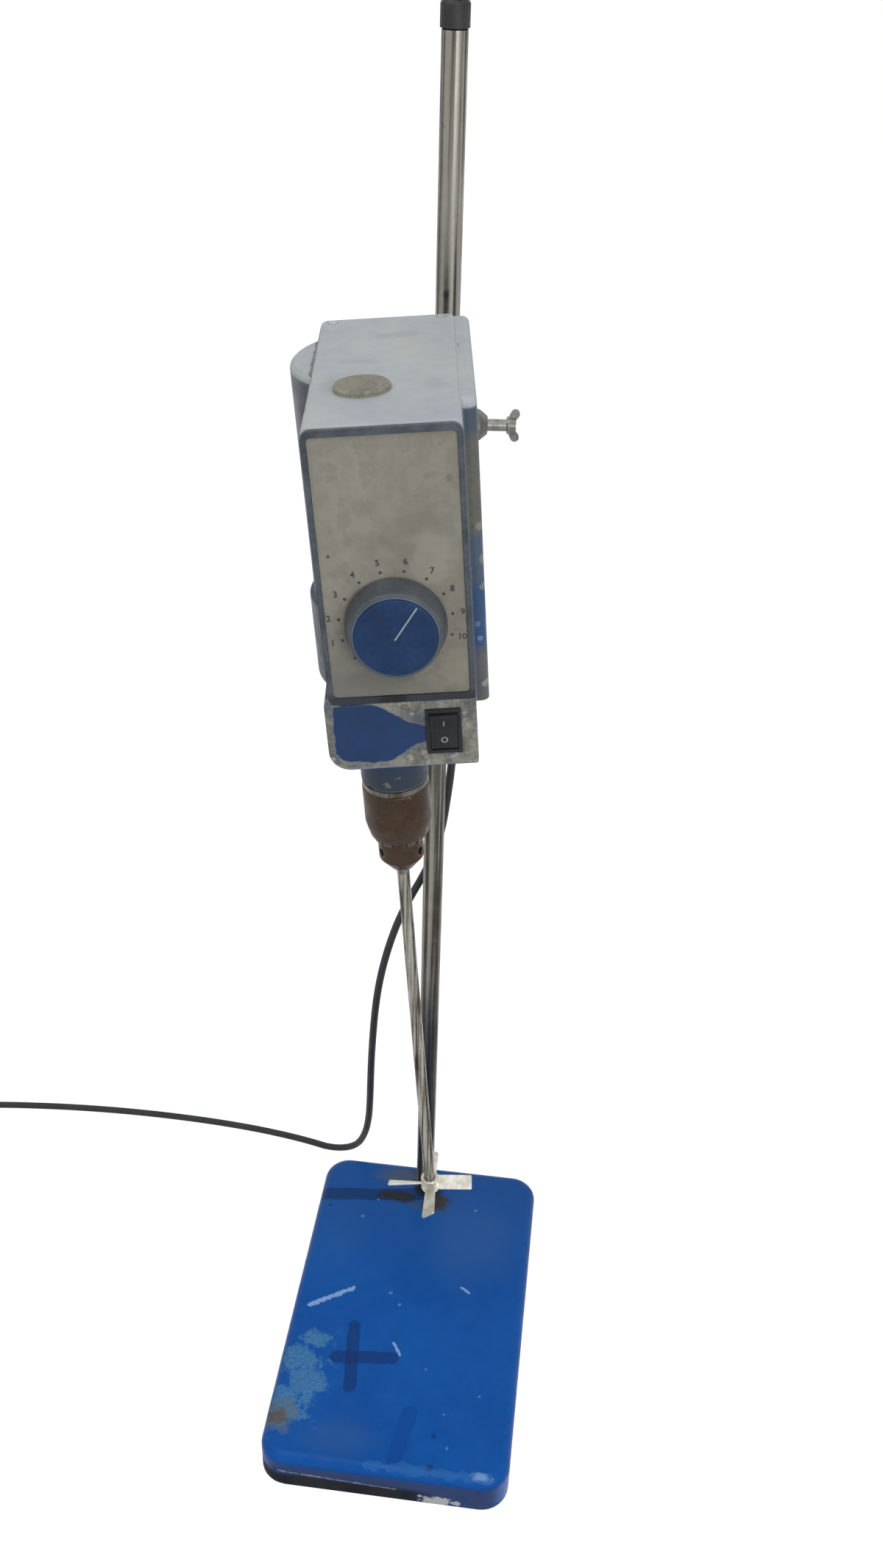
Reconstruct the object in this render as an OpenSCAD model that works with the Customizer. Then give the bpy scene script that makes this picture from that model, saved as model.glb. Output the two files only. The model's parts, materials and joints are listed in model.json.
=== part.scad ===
// Overhead stirrer on a plate stand: motor head with speed knob, boss head,
// keyed chuck, propeller shaft and mains cord. Millimetres, +Z up.
// The origin is the centre of the plate's top face, where the vessel stands.

/* [Stand] */
// Width of the plate
plate_w = 200; // [170:5:260]
// Depth of the plate
plate_d = 316; // [290:2:380]
// Height of the plate's casting
plate_h = 34; // [32:1:44]
// Wall of the casting
plate_wall = 5; // [4:0.5:7]
// Corner radius of the plate in plan
plate_corner = 22; // [16:1:34]
// Radius of the plate's top edge
plate_edge = 9; // [6:0.5:12]
// Diameter of a rubber foot
foot_d = 24; // [18:1:30]
// Height of a rubber foot
foot_h = 7; // [6:0.5:10]
// Distance of a foot's centre from the plate's sides
foot_inset = 22; // [20:1:30]

/* [Rod] */
// Diameter of the rod and of the extension arm
rod_d = 16; // [12:1:18]
// Length of the rod
rod_len = 1000; // [980:10:1200]
// Depth of the rod's seat in the plate
seat_depth = 20; // [15:1:22]
// Distance of the rod's axis from the plate's middle
rod_x = -4.3; // [-20:0.1:20]
// Distance of the rod's axis from the plate's back edge
rod_back = 22.5; // [21:0.5:30]
// Diameter of the stud under the rod
stud_d = 10; // [8:1:10]
// Height of the end cap over the rod
cap_h = 16; // [10:1:25]

/* [Boss head and arm] */
// Height of the arm's axis over the plate
clamp_z = 742.5; // [700:0.5:780]
// Distance between the rod's axis and the arm's axis
cross = 30; // [28:0.5:36]
// Wall round the bores of the boss head
boss_wall = 9; // [7:0.5:11]
// Height of the boss head's sleeve round the rod
boss_h = 44; // [36:1:56]
// Length of the boss head's sleeve round the arm
boss_l = 40; // [30:1:44]
// Diameter of the clamp screws
clamp_screw_d = 8; // [6:1:10]
// Width over the wings of a clamp screw
wing_span = 22; // [20:1:34]
// Length of the extension arm
arm_len = 160; // [150:5:200]
// Length of the arm inside the head
arm_insert = 20; // [15:1:22]
// Distance from the head's back to the rod's axis
reach = 73.8; // [68:0.1:90]

/* [Head] */
// Width of the head
body_w = 80; // [76:1:90]
// Depth of the head
body_d = 190; // [186:1:220]
// Height of the head
body_h = 196; // [190:1:215]
// Wall of the head's casting
body_wall = 3; // [2.5:0.5:4]
// Depth of the arm's axis under the head's top
arm_drop = 92; // [80:1:100]
// Turn of the head round the rod, in degrees
head_yaw = 7.8; // [-30:0.1:30]
// Roll of the head round its arm, in degrees
head_roll = -4.5; // [-20:0.1:20]
// Height of the lid
lid_h = 7; // [6:0.5:10]
// How far the right shoulder stands out
shoulder_out = 8; // [6:0.5:12]
// Distance of the shoulder's front from the head's front
shoulder_y = 39; // [30:1:60]
// Height of the part under the shoulder
shoulder_drop = 17; // [14:1:24]
// Distance of the motor bulge's surface from the motor
bulge_wall = 11; // [9:0.5:15]
// How far the foot of the motor bulge stands out
bulge_foot_out = 3; // [1:0.5:4]
// Height of the foot of the motor bulge
bulge_foot_h = 52; // [40:2:70]
// How far the front block stands out to the left
block_out = 3; // [1:0.5:5]
// Height of the front block under the panel
block_h = 42; // [38:1:50]

/* [Panel and knob] */
// Width of the bezel's sides
bezel_side = 2.8; // [2:0.1:4]
// Width of the bezel's top and bottom
bezel_end = 4; // [3:0.1:6]
// How far the bezel stands out of the housing's face
bezel_t = 3; // [2.6:0.2:5]
// Thickness of the panel
panel_t = 2; // [1.5:0.1:2.4]
// Distance of the knob's axis over the front block
knob_up = 47; // [42:1:54]
// Diameter of the knob's skirt
knob_d = 54; // [46:1:56]
// Diameter of the knob's cap
knob_cap_d = 44; // [36:1:45]
// Height of the knob over the panel
knob_h = 17.5; // [14:0.5:24]
// Radius of the ring of dots
dots_r = 30.2; // [29.4:0.2:33]
// Angle between two numbers, in degrees
dial_step = 23.5; // [18:0.5:26]
// Number that the pointer shows
dial_value = 7; // [1:0.5:10]
// Width of the rocker switch
switch_w = 19.5; // [16:0.5:22]
// Height of the rocker switch
switch_h = 28; // [24:0.5:30]
// Distance of the switch from the head's middle
switch_x = 21.6; // [18:0.2:25]

/* [Chuck and stirrer] */
// Distance of the spindle from the head's middle, to the left
spindle_left = 10.9; // [8:0.1:12]
// Distance of the spindle from the head's front
spindle_y = 57.6; // [54:0.2:62]
// Length of the neck under the head
neck_l = 42; // [38:1:50]
// Diameter of the neck
neck_d = 41; // [36:1:44]
// Outer diameter of the hollow spindle
spindle_d = 16; // [15:0.5:17]
// Bore of the hollow spindle
spindle_bore = 10.6; // [10:0.2:11.4]
// Diameter of the chuck's sleeve
chuck_d = 41.2; // [38:0.2:44]
// Length of the chuck
chuck_l = 70; // [66:1:80]
// Diameter of the stirrer's shaft
shaft_d = 8; // [6:0.5:9]
// Length of the stirrer's shaft
shaft_len = 352; // [300:2:400]
// Length of the shaft inside the chuck
shaft_grip = 55; // [45:1:60]
// Diameter over the propeller's blades
prop_d = 62; // [50:1:90]
// Width of a blade
blade_w = 10.5; // [8:0.5:18]
// Pitch of a blade, in degrees
blade_pitch = 40; // [20:1:55]

/* [Mains cord] */
// Diameter of the mains cord
cord_d = 6.5; // [6:0.1:7]
// Radius at the middle of the coil's turns
coil_r = 36; // [33:0.5:39]

/* [Hidden] */
$fn = 64;

// Fits, radial
run_fit = 0.05;
snug = 0.02;

// Stand
floor_z = -plate_h - foot_h;
rod_y = plate_d / 2 - rod_back;
rod_r = rod_d / 2;
seat_floor = 6;
stud_r = stud_d / 2;
washer_t = 2;
nut_h = 0.7 * stud_d;
stud_l = seat_floor + washer_t + nut_h + 1;
pad_r = foot_d / 2 + 1;
foot_screw_r = 2;
foot_head_r = 4;
foot_recess = 3;
foot_screw_l = 14;
cap_stem_r = rod_r / 2;
cap_stem_l = 12;

// Boss head: screws and their seats
boss_r = rod_r + boss_wall;
clamp_r = clamp_screw_d / 2;
lug_r = 10.5;
lug_len = 5.5;
lug_tip_r = 6;
lug_x = boss_r + 6;
shank_out = 14;
wing_t = 2.6;

// Head, in its own frame: x right, y back from the panel's face, z up from the top
front_y = panel_t;
half_w = body_w / 2;
spindle_x = -spindle_left;
// The motor fills the room between the spindle and the arm, up to the head's width
motor_gap = 4;
drive_gap = 5;
motor_x = -2;
motor_back = body_d - arm_insert - motor_gap;
motor_front = spindle_y + spindle_d / 2 + drive_gap;
motor_r = min(half_w + 1, (motor_back - motor_front) / 2);
motor_y = motor_back - motor_r;
bulge_r = motor_r + bulge_wall;
bulge_top = 3;
lid_edge = 4;
lid_skin = 2.5;
shoulder_dip = 1.5;
lid_step = 0.3;
corner_r = 5;
block_corner = 12;
block_depth = 62;
block_y = front_y - bezel_t;
floor_t = 3;
collar_h = 14;
collar_out = 4.5;
shoulder_z = -body_h + shoulder_drop;
block_z = -body_h + block_h;
knob_z = -block_z - knob_up;
switch_z = block_z - block_h / 2 + 2;
gland_x = 33;
gland_up = 31;
gland_z = -body_h + gland_up;
gland_l = 28;
gland_flange = 3;
cover_hole_r = 12.8;
cover_post_r = 5;
cover_post_h = 30;
cover_screw_r = 1.5;
cover_screw_l = 12;
cover_head_r = 3;
cover_head_h = 1.5;
spindle_cap_r = 15.2;
spindle_cap_h = 3;
socket_r = rod_r + 6;

// Chuck, measured down from the neck's end
neck_z = -body_h - neck_l;
tip_z = neck_z - chuck_l;
chuck_r = chuck_d / 2;
core_r = 14.2;
ring_t = 3.4;
nose_l = 23;
cone_l = 9;
sleeve_gap = 0.4;
sleeve_z = neck_z - 0.8 - ring_t - sleeve_gap;
sleeve_end = tip_z + nose_l + 3;
tip_r = 7.2;
teeth = 14;
jaw_r = 3;
jaw_tilt = 10;
jaw_l = 30;
jaw_centre = 5;
jaw_travel = 5.4;
shaft_top = tip_z + shaft_grip;
shaft_end = shaft_top - shaft_len;
hub_r = 6.5;
hub_h = 12;
prop_turn = -4;

// Drive
belt_t = 2;
belt_h = 9;
belt_gap = 0.3;
flange_t = 1.5;
flange_out = 3;
belt_z = -body_h + floor_t + 4;
pulley_h = belt_h + 2 * flange_t + 2 * belt_gap;
big_r = 22;
small_r = 6.6;
can_up = 31;
can_drop = 80;
can_z = -body_h + can_up;
can_h = body_h - can_up - can_drop;
can_t = 2;
// Room in the can for the windings at each end of the rotor
winding_h = can_h * 12 / 85;
motor_shaft_r = 4;
bearing_h = 10;
bearing_r = 13;
neck_bore = bearing_r + snug;

// Dial
dial_first = -4.5 * dial_step;
knob_angle = dial_first + (dial_value - 1) * dial_step;

// Cord
cord_r = cord_d / 2;
lie_z = floor_z + cord_r;
coil_x = -500;
coil_y = 165;
// The turns of the coil: two side by side on the bench, one on both
top_turn = 0.87 * cord_d;

// Place of a point of the head in the part's frame
function roll_point(p) = [p[0] * cos(head_roll) + p[2] * sin(head_roll), p[1],
    -p[0] * sin(head_roll) + p[2] * cos(head_roll)];
function on_clamp(p) = roll_point([p[0], p[1] - body_d, p[2] + arm_drop]) + [-cross, -reach, clamp_z];
function yaw_point(p) = [p[0] * cos(head_yaw) - p[1] * sin(head_yaw),
    p[0] * sin(head_yaw) + p[1] * cos(head_yaw), p[2]];
function head_point(p) = yaw_point(on_clamp(p)) + [rod_x, rod_y, 0];

cord_exit = head_point([gland_x, body_d + gland_flange + gland_l, gland_z]);
cord_exit_dir = yaw_point([0, 1, 0]);

// The cord's route after the gland: hangs behind the rod, swings left and lies
// along the bench to the coil
cord_route = [
    [12.5, 124, 669],
    [11, 138, 655],
    [10, 147, 632],
    [9.6, 151, 603],
    [9.4, 153, 570],
    [9, 153, 535],
    [8, 152.5, 500],
    [6.3, 151.5, 464],
    [3.9, 151, 435],
    [0, 151, 402],
    [-6.5, 151, 374],
    [-14.5, 150.5, 352],
    [-23.5, 150, 331],
    [-32.5, 150, 308],
    [-40, 150, 283],
    [-46.5, 151, 255],
    [-51.5, 152.5, 226],
    [-55, 154.5, 196],
    [-57.5, 157, 164],
    [-59.5, 160, 132],
    [-61, 163.5, 100],
    [-62.5, 168, 68],
    [-65, 174, 37],
    [-70, 181, 9],
    [-79, 188.5, -15],
    [-94, 195.5, -30.5]];
// The stretch on the bench: across and back only, the height is the bench's
cord_bench = [
    [-114, 201.5],
    [-145, 208],
    [-185, 213.5],
    [-230, 217],
    [-280, 218.5],
    [-330, 218],
    [-380, 215.5],
    [-425, 211.5],
    [-458, 207.5]];
coil_entry = [coil_x + 22, coil_y + coil_r + cord_r + 0.4, lie_z];
cord_line = concat([cord_exit, cord_exit + 14 * cord_exit_dir], cord_route,
    [for (p = cord_bench) [p[0], p[1], lie_z]], [coil_entry]);

// The tail from the coil to the plug
plug_r = 18;
plug_l = 34;
plug_neck_l = 22;
pin_r = 2.4;
pin_l = 19;
pin_gap = 19;
plug_z = floor_z + plug_r;
tail_x = coil_x - coil_r - cord_r;
plug_y = coil_y - 68;
tail_line = [
    [coil_x - coil_r, coil_y, lie_z + top_turn],
    [tail_x + 1.85, coil_y - 16, lie_z + 6.6],
    [tail_x + 0.65, coil_y - 31, lie_z + 8.3],
    [tail_x + 0.05, coil_y - 46, lie_z + 11],
    [tail_x, coil_y - 58, lie_z + 13.6],
    [tail_x, plug_y, plug_z]];

// Frames that carry the pieces
module on_swing() {
    translate([rod_x, rod_y, 0]) rotate([0, 0, head_yaw]) children();
}
module on_boss() {
    on_swing() translate([0, 0, clamp_z]) children();
}
module on_head() {
    on_boss() translate([-cross, -reach, 0]) rotate([0, head_roll, 0])
        translate([0, -body_d, arm_drop]) children();
}
module on_spindle() {
    on_head() translate([spindle_x, spindle_y, 0]) children();
}
module on_motor() {
    on_head() translate([motor_x, motor_y, 0]) children();
}
module at_corners(w, d) {
    for (sx = [-1, 1], sy = [-1, 1]) translate([sx * w / 2, sy * d / 2, 0]) children();
}
// Rounded rectangle between two corners
module round_rect(x0, y0, x1, y1, r) {
    translate([x0 + r, y0]) square([x1 - x0 - 2 * r, y1 - y0]);
    translate([x0, y0 + r]) square([x1 - x0, y1 - y0 - 2 * r]);
    for (x = [x0 + r, x1 - r], y = [y0 + r, y1 - r]) translate([x, y]) circle(r);
}
// Cylinder between two heights
module post(r, z0, z1, r1 = -1) {
    translate([0, 0, z0]) cylinder(h = z1 - z0, r1 = r, r2 = r1 < 0 ? r : r1);
}

// Stand
module base_plate() {
    inner_w = plate_w - 2 * plate_corner;
    inner_d = plate_d - 2 * plate_corner;
    pads_w = plate_w - 2 * foot_inset;
    pads_d = plate_d - 2 * foot_inset;
    boss_end = -seat_depth - seat_floor;
    color("royalblue") difference() {
        hull() {
            at_corners(inner_w, inner_d) post(plate_corner, -plate_h, -plate_edge, plate_corner, $fn = 32);
            translate([0, 0, -plate_edge]) at_corners(inner_w, inner_d) round_rim(plate_corner, plate_edge);
        }
        difference() {
            translate([0, 0, -plate_h - 1]) linear_extrude(plate_h + 1 - plate_wall)
                round_rect(-plate_w / 2 + plate_wall, -plate_d / 2 + plate_wall,
                    plate_w / 2 - plate_wall, plate_d / 2 - plate_wall, plate_corner - plate_wall);
            at_corners(pads_w, pads_d) post(pad_r, -plate_h, 0);
            translate([rod_x, rod_y, 0]) post(rod_r + plate_wall + 3, boss_end, 0);
        }
        translate([rod_x, rod_y, 0]) post(rod_r + run_fit, -seat_depth, 1);
        translate([rod_x, rod_y, 0]) post(stud_r + run_fit, boss_end - 1, 0);
        at_corners(pads_w, pads_d)
            post(foot_screw_r + run_fit, -plate_h - 1, -plate_h + foot_screw_l - foot_h + foot_recess + 1);
    }
}
module base_feet() {
    color("dimgray") at_corners(plate_w - 2 * foot_inset, plate_d - 2 * foot_inset) difference() {
        post(foot_d / 2 - 1.5, floor_z, -plate_h, foot_d / 2);
        post(foot_screw_r + run_fit, floor_z - 1, -plate_h + 1);
        post(foot_head_r + 0.6, floor_z - 1, floor_z + foot_recess);
    }
}
module foot_screws() {
    seat = floor_z + foot_recess;
    color("silver") at_corners(plate_w - 2 * foot_inset, plate_d - 2 * foot_inset) difference() {
        union() {
            post(foot_head_r, seat - 2.2, seat);
            post(foot_screw_r, seat, seat + foot_screw_l - foot_h + foot_recess + 1);
        }
        translate([-foot_head_r, -0.5, seat - 3]) cube([2 * foot_head_r, 1, 1.6]);
    }
}
module stand_rod() {
    rod_top = rod_len - seat_depth;
    color("silver") translate([rod_x, rod_y, 0]) difference() {
        union() {
            post(rod_r, -seat_depth, rod_top - 1);
            post(rod_r, rod_top - 1, rod_top, rod_r - 1);
            post(stud_r, -seat_depth - stud_l, -seat_depth);
        }
        post(cap_stem_r + snug, rod_top - cap_stem_l - 1, rod_top + 1);
    }
}
module rod_washer() {
    top = -seat_depth - seat_floor;
    color("silver") translate([rod_x, rod_y, 0]) difference() {
        post(2 * stud_r, top - washer_t, top);
        post(stud_r + snug, top - washer_t - 1, top + 1);
    }
}
module rod_nut() {
    top = -seat_depth - seat_floor - washer_t;
    color("silver") translate([rod_x, rod_y, 0]) difference() {
        translate([0, 0, top - nut_h]) cylinder(h = nut_h, r = 1.9 * stud_r, $fn = 6);
        post(stud_r + snug, top - nut_h - 1, top + 1);
    }
}
module rod_cap() {
    rod_top = rod_len - seat_depth;
    color("dimgray") translate([rod_x, rod_y, rod_top]) {
        post(cap_stem_r, -cap_stem_l, 0);
        post(rod_r + 0.9, 0, cap_h - 3);
        post(rod_r + 0.9, cap_h - 3, cap_h, rod_r - 1.8);
    }
}

// Boss head: one sleeve up the rod, one along the arm
module boss_head() {
    color("gray") on_boss() difference() {
        union() {
            post(boss_r, -boss_h / 2, boss_h / 2);
            translate([-cross, boss_l / 2, 0]) rotate([90, 0, 0]) cylinder(h = boss_l, r = boss_r - 1);
            translate([-cross, -boss_r / 2, -boss_r + 1]) cube([cross, boss_r, 2 * boss_r - 2]);
            rotate([0, 90, 0]) post(lug_r, boss_r - 4, lug_x);
            rotate([0, 90, 0]) post(lug_r, lug_x, lug_x + lug_len, lug_tip_r);
            translate([-cross, 0, 0]) rotate([0, -90, 0]) post(lug_r, boss_r - 5, lug_x - 1);
            translate([-cross, 0, 0]) rotate([0, -90, 0])
                post(lug_r, lug_x - 1, lug_x + lug_len - 1, lug_tip_r);
        }
        post(rod_r + run_fit, -boss_h, boss_h);
        translate([-cross, boss_l, 0]) rotate([90, 0, 0]) cylinder(h = 2 * boss_l, r = rod_r + run_fit);
        rotate([0, 90, 0]) post(clamp_r + run_fit, 0, lug_x + lug_len + 1);
        translate([-cross, 0, 0]) rotate([0, -90, 0]) post(clamp_r + run_fit, 0, lug_x + lug_len);
    }
}
// Clamp screw along +Z, its tip at the clamped rod's surface, its end past the lug
module wing_screw(lug_end) {
    hub_z = lug_end + shank_out;
    tip = rod_r + 0.15;
    post(clamp_r, tip, hub_z);
    post(clamp_r + 1.8, hub_z - 1, hub_z + 5);
    for (s = [-1, 1]) hull() {
        translate([s * 3, 0, hub_z + 1.5]) rotate([90, 0, 0])
            cylinder(h = wing_t, r = 2.4, center = true, $fn = 32);
        translate([s * (wing_span / 2 - 3), 0, hub_z + 4.6]) rotate([90, 0, 0])
            cylinder(h = wing_t, r = 3, center = true, $fn = 32);
    }
}
module rod_wing_screw() {
    color("silver") on_boss() rotate([0, 90, 0]) wing_screw(lug_x + lug_len);
}
module arm_wing_screw() {
    color("silver") on_boss() translate([-cross, 0, 0]) rotate([0, -90, 0]) rotate([0, 0, 35])
        wing_screw(lug_x + lug_len - 1);
}
module extension_arm() {
    color("silver") on_head() translate([0, body_d - arm_insert, -arm_drop]) rotate([-90, 0, 0]) {
        post(rod_r - 1, 0, 1, rod_r);
        post(rod_r, 1, arm_len - 1);
        post(rod_r, arm_len - 1, arm_len, rod_r - 1);
    }
}

// Outline of the head seen from above, drawn in by a wall
module head_plan(inset) {
    round_rect(-half_w + inset, front_y + inset, half_w - inset, body_d - inset, corner_r - inset / 2);
}
module shoulder_plan(inset) {
    round_rect(0, shoulder_y + inset, half_w + shoulder_out - inset, body_d - inset, corner_r - inset / 2);
}
module bulge_plan(inset) {
    intersection() {
        translate([motor_x, motor_y]) circle(bulge_r - inset);
        translate([-2 * bulge_r, motor_y - bulge_r]) square([2 * bulge_r + motor_x, 2 * bulge_r]);
    }
}
// Block under the panel, drawn from the front
module block_profile() {
    round_rect(-half_w - block_out, -body_h, half_w, block_z + block_corner, block_corner);
    translate([0, -body_h]) square([half_w, block_h]);
}
module housing_hollow() {
    translate([0, 0, block_z]) linear_extrude(-block_z) {
        head_plan(body_wall);
        shoulder_plan(body_wall);
        bulge_plan(body_wall);
    }
    translate([0, 0, shoulder_z + floor_t]) linear_extrude(block_z - shoulder_z) {
        head_plan(body_wall);
        shoulder_plan(body_wall);
        bulge_plan(body_wall);
    }
    translate([0, 0, -body_h + floor_t]) linear_extrude(body_h / 2) head_plan(body_wall);
}
module motor_posts() {
    for (a = [25, 155, 205, 335]) on_motor_axis(a) post(4, -body_h + 1, can_z);
}
module on_motor_axis(a) {
    translate([motor_x + (motor_r - 5) * cos(a), motor_y + (motor_r - 5) * sin(a), 0]) children();
}
module housing() {
    lid_z = -lid_h;
    color("steelblue") on_head() difference() {
        union() {
            difference() {
                union() {
                    translate([0, 0, block_z]) linear_extrude(lid_z - block_z) head_plan(0);
                    translate([0, 0, shoulder_z]) linear_extrude(lid_z - shoulder_z) shoulder_plan(0);
                    translate([0, 0, -body_h]) linear_extrude(lid_z + body_h) bulge_plan(0);
                    translate([0, 0, -body_h]) linear_extrude(bulge_foot_h) bulge_plan(-bulge_foot_out);
                    translate([0, block_depth, -body_h]) linear_extrude(block_h)
                        round_rect(-half_w, -10, half_w, body_d - block_depth, corner_r);
                    translate([0, block_depth, 0]) rotate([90, 0, 0]) linear_extrude(block_depth - block_y)
                        block_trim();
                    translate([spindle_x, spindle_y, 0]) post(neck_d / 2, neck_z, -body_h + 1);
                    translate([spindle_x, spindle_y, 0])
                        post(neck_d / 2, -body_h - collar_h, -body_h + 1, neck_d / 2 + collar_out);
                }
                housing_hollow();
            }
            motor_posts();
            translate([spindle_x, spindle_y, 0]) post(bearing_r + 3, -body_h, -body_h + floor_t + 2);
            translate([0, body_d - 1, -arm_drop]) rotate([90, 0, 0])
                cylinder(h = arm_insert + 1, r = socket_r);
            at_cover_screws() post(cover_post_r, lid_z - cover_post_h, lid_z);
        }
        front_window();
        switch_hole();
        translate([spindle_x, spindle_y, 0]) post(neck_bore, neck_z - 1, -body_h + floor_t + 3);
        translate([0, body_d + 1, -arm_drop]) rotate([90, 0, 0])
            cylinder(h = arm_insert + 1.2, r = rod_r + run_fit);
        translate([0, body_d - arm_insert / 2, -arm_drop]) post(2.5 + run_fit, -socket_r - 1, 0);
        at_cover_screws() post(cover_screw_r + run_fit, lid_z - cover_screw_l - 1, 0);
        translate([gland_x, body_d - body_wall - 1, gland_z]) rotate([-90, 0, 0])
            cylinder(h = body_wall + 2, r = 3.4);
        for (i = [0:4]) translate([-14, body_d - body_wall - 1, -30 - 8 * i]) cube([28, body_wall + 2, 3]);
    }
}
module block_trim() {
    intersection() {
        block_profile();
        translate([-body_w, -body_h]) square([2 * body_w, block_h]);
    }
}
module front_window() {
    translate([-half_w + 6, front_y - 1, block_z + 6])
        cube([body_w - 12, body_wall + 2, -block_z - lid_h - 12]);
}
module switch_hole() {
    translate([switch_x - switch_w / 2 + 1, block_y - 1, switch_z - switch_h / 2 + 1])
        cube([switch_w - 2, bezel_t + body_wall + 2, switch_h - 2]);
}

// Corner of a rounded slab: radius rc in plan, r over the edge
module round_rim(rc, r) {
    rotate_extrude($fn = 32) intersection() {
        translate([rc - r, 0]) circle(r, $fn = 32);
        square([rc, r]);
    }
}
// Lid: flat top with round edges, a lower tongue over the shoulder and over the bulge
module lid_slab(x0, y0, x1, y1, top, r) {
    hull() {
        translate([0, 0, -lid_h]) linear_extrude(0.5) round_rect(x0, y0, x1, y1, corner_r, $fn = 32);
        for (x = [x0 + corner_r, x1 - corner_r], y = [y0 + corner_r, y1 - corner_r])
            translate([x, y, top - r]) round_rim(corner_r, r);
    }
}
module top_cover() {
    color("lightsteelblue") on_head() difference() {
        union() {
            lid_slab(-half_w, front_y, half_w, body_d, 0, lid_edge);
            lid_slab(0, shoulder_y, half_w + shoulder_out, body_d - lid_step, -shoulder_dip, lid_edge);
            hull() {
                translate([0, 0, -lid_h]) linear_extrude(0.5) bulge_plan(0, $fn = 96);
                translate([0, 0, -bulge_top - 2]) linear_extrude(0.5) bulge_plan(0.6, $fn = 96);
                translate([0, 0, -bulge_top - 0.5]) linear_extrude(0.5) bulge_plan(2.5, $fn = 96);
            }
        }
        translate([0, 0, -lid_h - 1]) linear_extrude(lid_h + 1 - lid_skin - lid_edge / 2)
            head_plan(body_wall);
        translate([spindle_x, spindle_y, 0]) post(cover_hole_r, -lid_h - 1, 1);
        at_cover_screws() {
            post(cover_screw_r + run_fit, -lid_h - 1, 1);
            post(cover_head_r + 0.2, -cover_head_h, 1);
        }
    }
}
module at_cover_screws() {
    for (s = [-1, 1]) translate([s * (half_w - 8), body_d - body_wall - cover_post_r + 0.5, 0]) children();
}
module cover_screws() {
    color("silver") on_head() at_cover_screws() difference() {
        union() {
            post(cover_head_r, -cover_head_h, 0.2);
            post(cover_screw_r, -lid_h - cover_screw_l, -cover_head_h);
        }
        translate([-cover_head_r, -0.4, -0.6]) cube([2 * cover_head_r, 0.8, 2]);
    }
}

// Front
module panel_bezel() {
    color("slategray") on_head() translate([0, front_y, 0]) rotate([90, 0, 0]) difference() {
        linear_extrude(bezel_t) round_rect(-half_w, block_z, half_w, -0.3, corner_r);
        translate([0, 0, -1]) linear_extrude(bezel_t + 2)
            round_rect(-half_w + bezel_side, block_z + bezel_end,
                half_w - bezel_side, -bezel_end, corner_r / 2);
    }
}
module front_panel() {
    color("tan") on_head() translate([0, front_y, 0]) rotate([90, 0, 0]) difference() {
        linear_extrude(panel_t) round_rect(-half_w + bezel_side + 0.1, block_z + bezel_end + 0.1,
            half_w - bezel_side - 0.1, -bezel_end - 0.1, corner_r / 2 - 0.1);
        translate([0, -knob_z, 0]) post(5, -1, panel_t + 1);
    }
}
// Dots at 1 to 10 and one at the stop
module dial_marks() {
    color("black") on_head() translate([0, 0, -knob_z]) rotate([90, 0, 0])
        for (i = [-1:9]) rotate([0, 0, -(dial_first + i * dial_step)]) translate([0, dots_r, 0])
            cylinder(h = 0.2, r = 0.8, $fn = 24);
}
module on_knob() {
    on_head() translate([0, 0, -knob_z]) rotate([0, knob_angle, 0]) rotate([90, 0, 0]) children();
}
cap_t = 2;
knob_gap = 1;
module speed_knob() {
    color("dimgray") on_knob() difference() {
        union() {
            post(knob_d / 2, knob_gap, knob_gap + 3);
            post(knob_d / 2, knob_gap + 3, knob_h - cap_t, knob_cap_d / 2 + 1.6);
        }
        post(3 + run_fit, 0, knob_h - cap_t - 3);
    }
}
module knob_cap() {
    color("midnightblue") on_knob() {
        post(knob_cap_d / 2, knob_h - cap_t, knob_h - 0.6);
        post(knob_cap_d / 2, knob_h - 0.6, knob_h, knob_cap_d / 2 - 0.6);
    }
}
module knob_pointer() {
    color("white") on_knob() translate([-0.6, -1, knob_h]) cube([1.2, knob_cap_d / 2, 0.3]);
}
module on_switch() {
    on_head() translate([switch_x, block_y, switch_z]) rotate([90, 0, 0]) children();
}
switch_rim = 2;
rocker_w = switch_w - 2 * switch_rim - 0.6;
rocker_h = switch_h - 2 * switch_rim - 1.6;
rocker_tilt = 7;
rocker_pin_r = 1.2;
rocker_pin_l = rocker_w / 2 + 1;
module switch_frame() {
    color("black") on_switch() difference() {
        union() {
            translate([-switch_w / 2, -switch_h / 2, 0]) cube([switch_w, switch_h, 2]);
            translate([-switch_w / 2 + 1.1, -switch_h / 2 + 1.1, -18])
                cube([switch_w - 2.2, switch_h - 2.2, 18.5]);
        }
        translate([-switch_w / 2 + switch_rim, -switch_h / 2 + switch_rim, -9])
            cube([switch_w - 2 * switch_rim, switch_h - 2 * switch_rim, 12]);
        rotate([0, 90, 0]) post(rocker_pin_r + run_fit, -rocker_pin_l - run_fit, rocker_pin_l + run_fit);
    }
}
// Rocker: a shallow V on a pin, its upper half stands out when the switch is off
module switch_rocker() {
    half = rocker_h / 2;
    color("black") on_switch() rotate([rocker_tilt, 0, 0]) {
        translate([-rocker_w / 2, 0, 0]) rotate([90, 0, 90]) linear_extrude(rocker_w)
            polygon([[-half, -1], [-3, -5], [3, -5], [half, -1], [half, 2.6], [0, 1.4], [-half, 2.6]]);
        rotate([0, 90, 0]) post(rocker_pin_r, -rocker_pin_l, rocker_pin_l);
    }
}
module spindle_cap() {
    color("tan") on_spindle() {
        post(cover_hole_r - 0.1, -4.5, 0);
        post(spindle_cap_r, 0.1, spindle_cap_h - 1);
        post(spindle_cap_r, spindle_cap_h - 1, spindle_cap_h, spindle_cap_r - 1);
        post(cover_hole_r - 0.1, 0, 0.1);
    }
}

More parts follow.
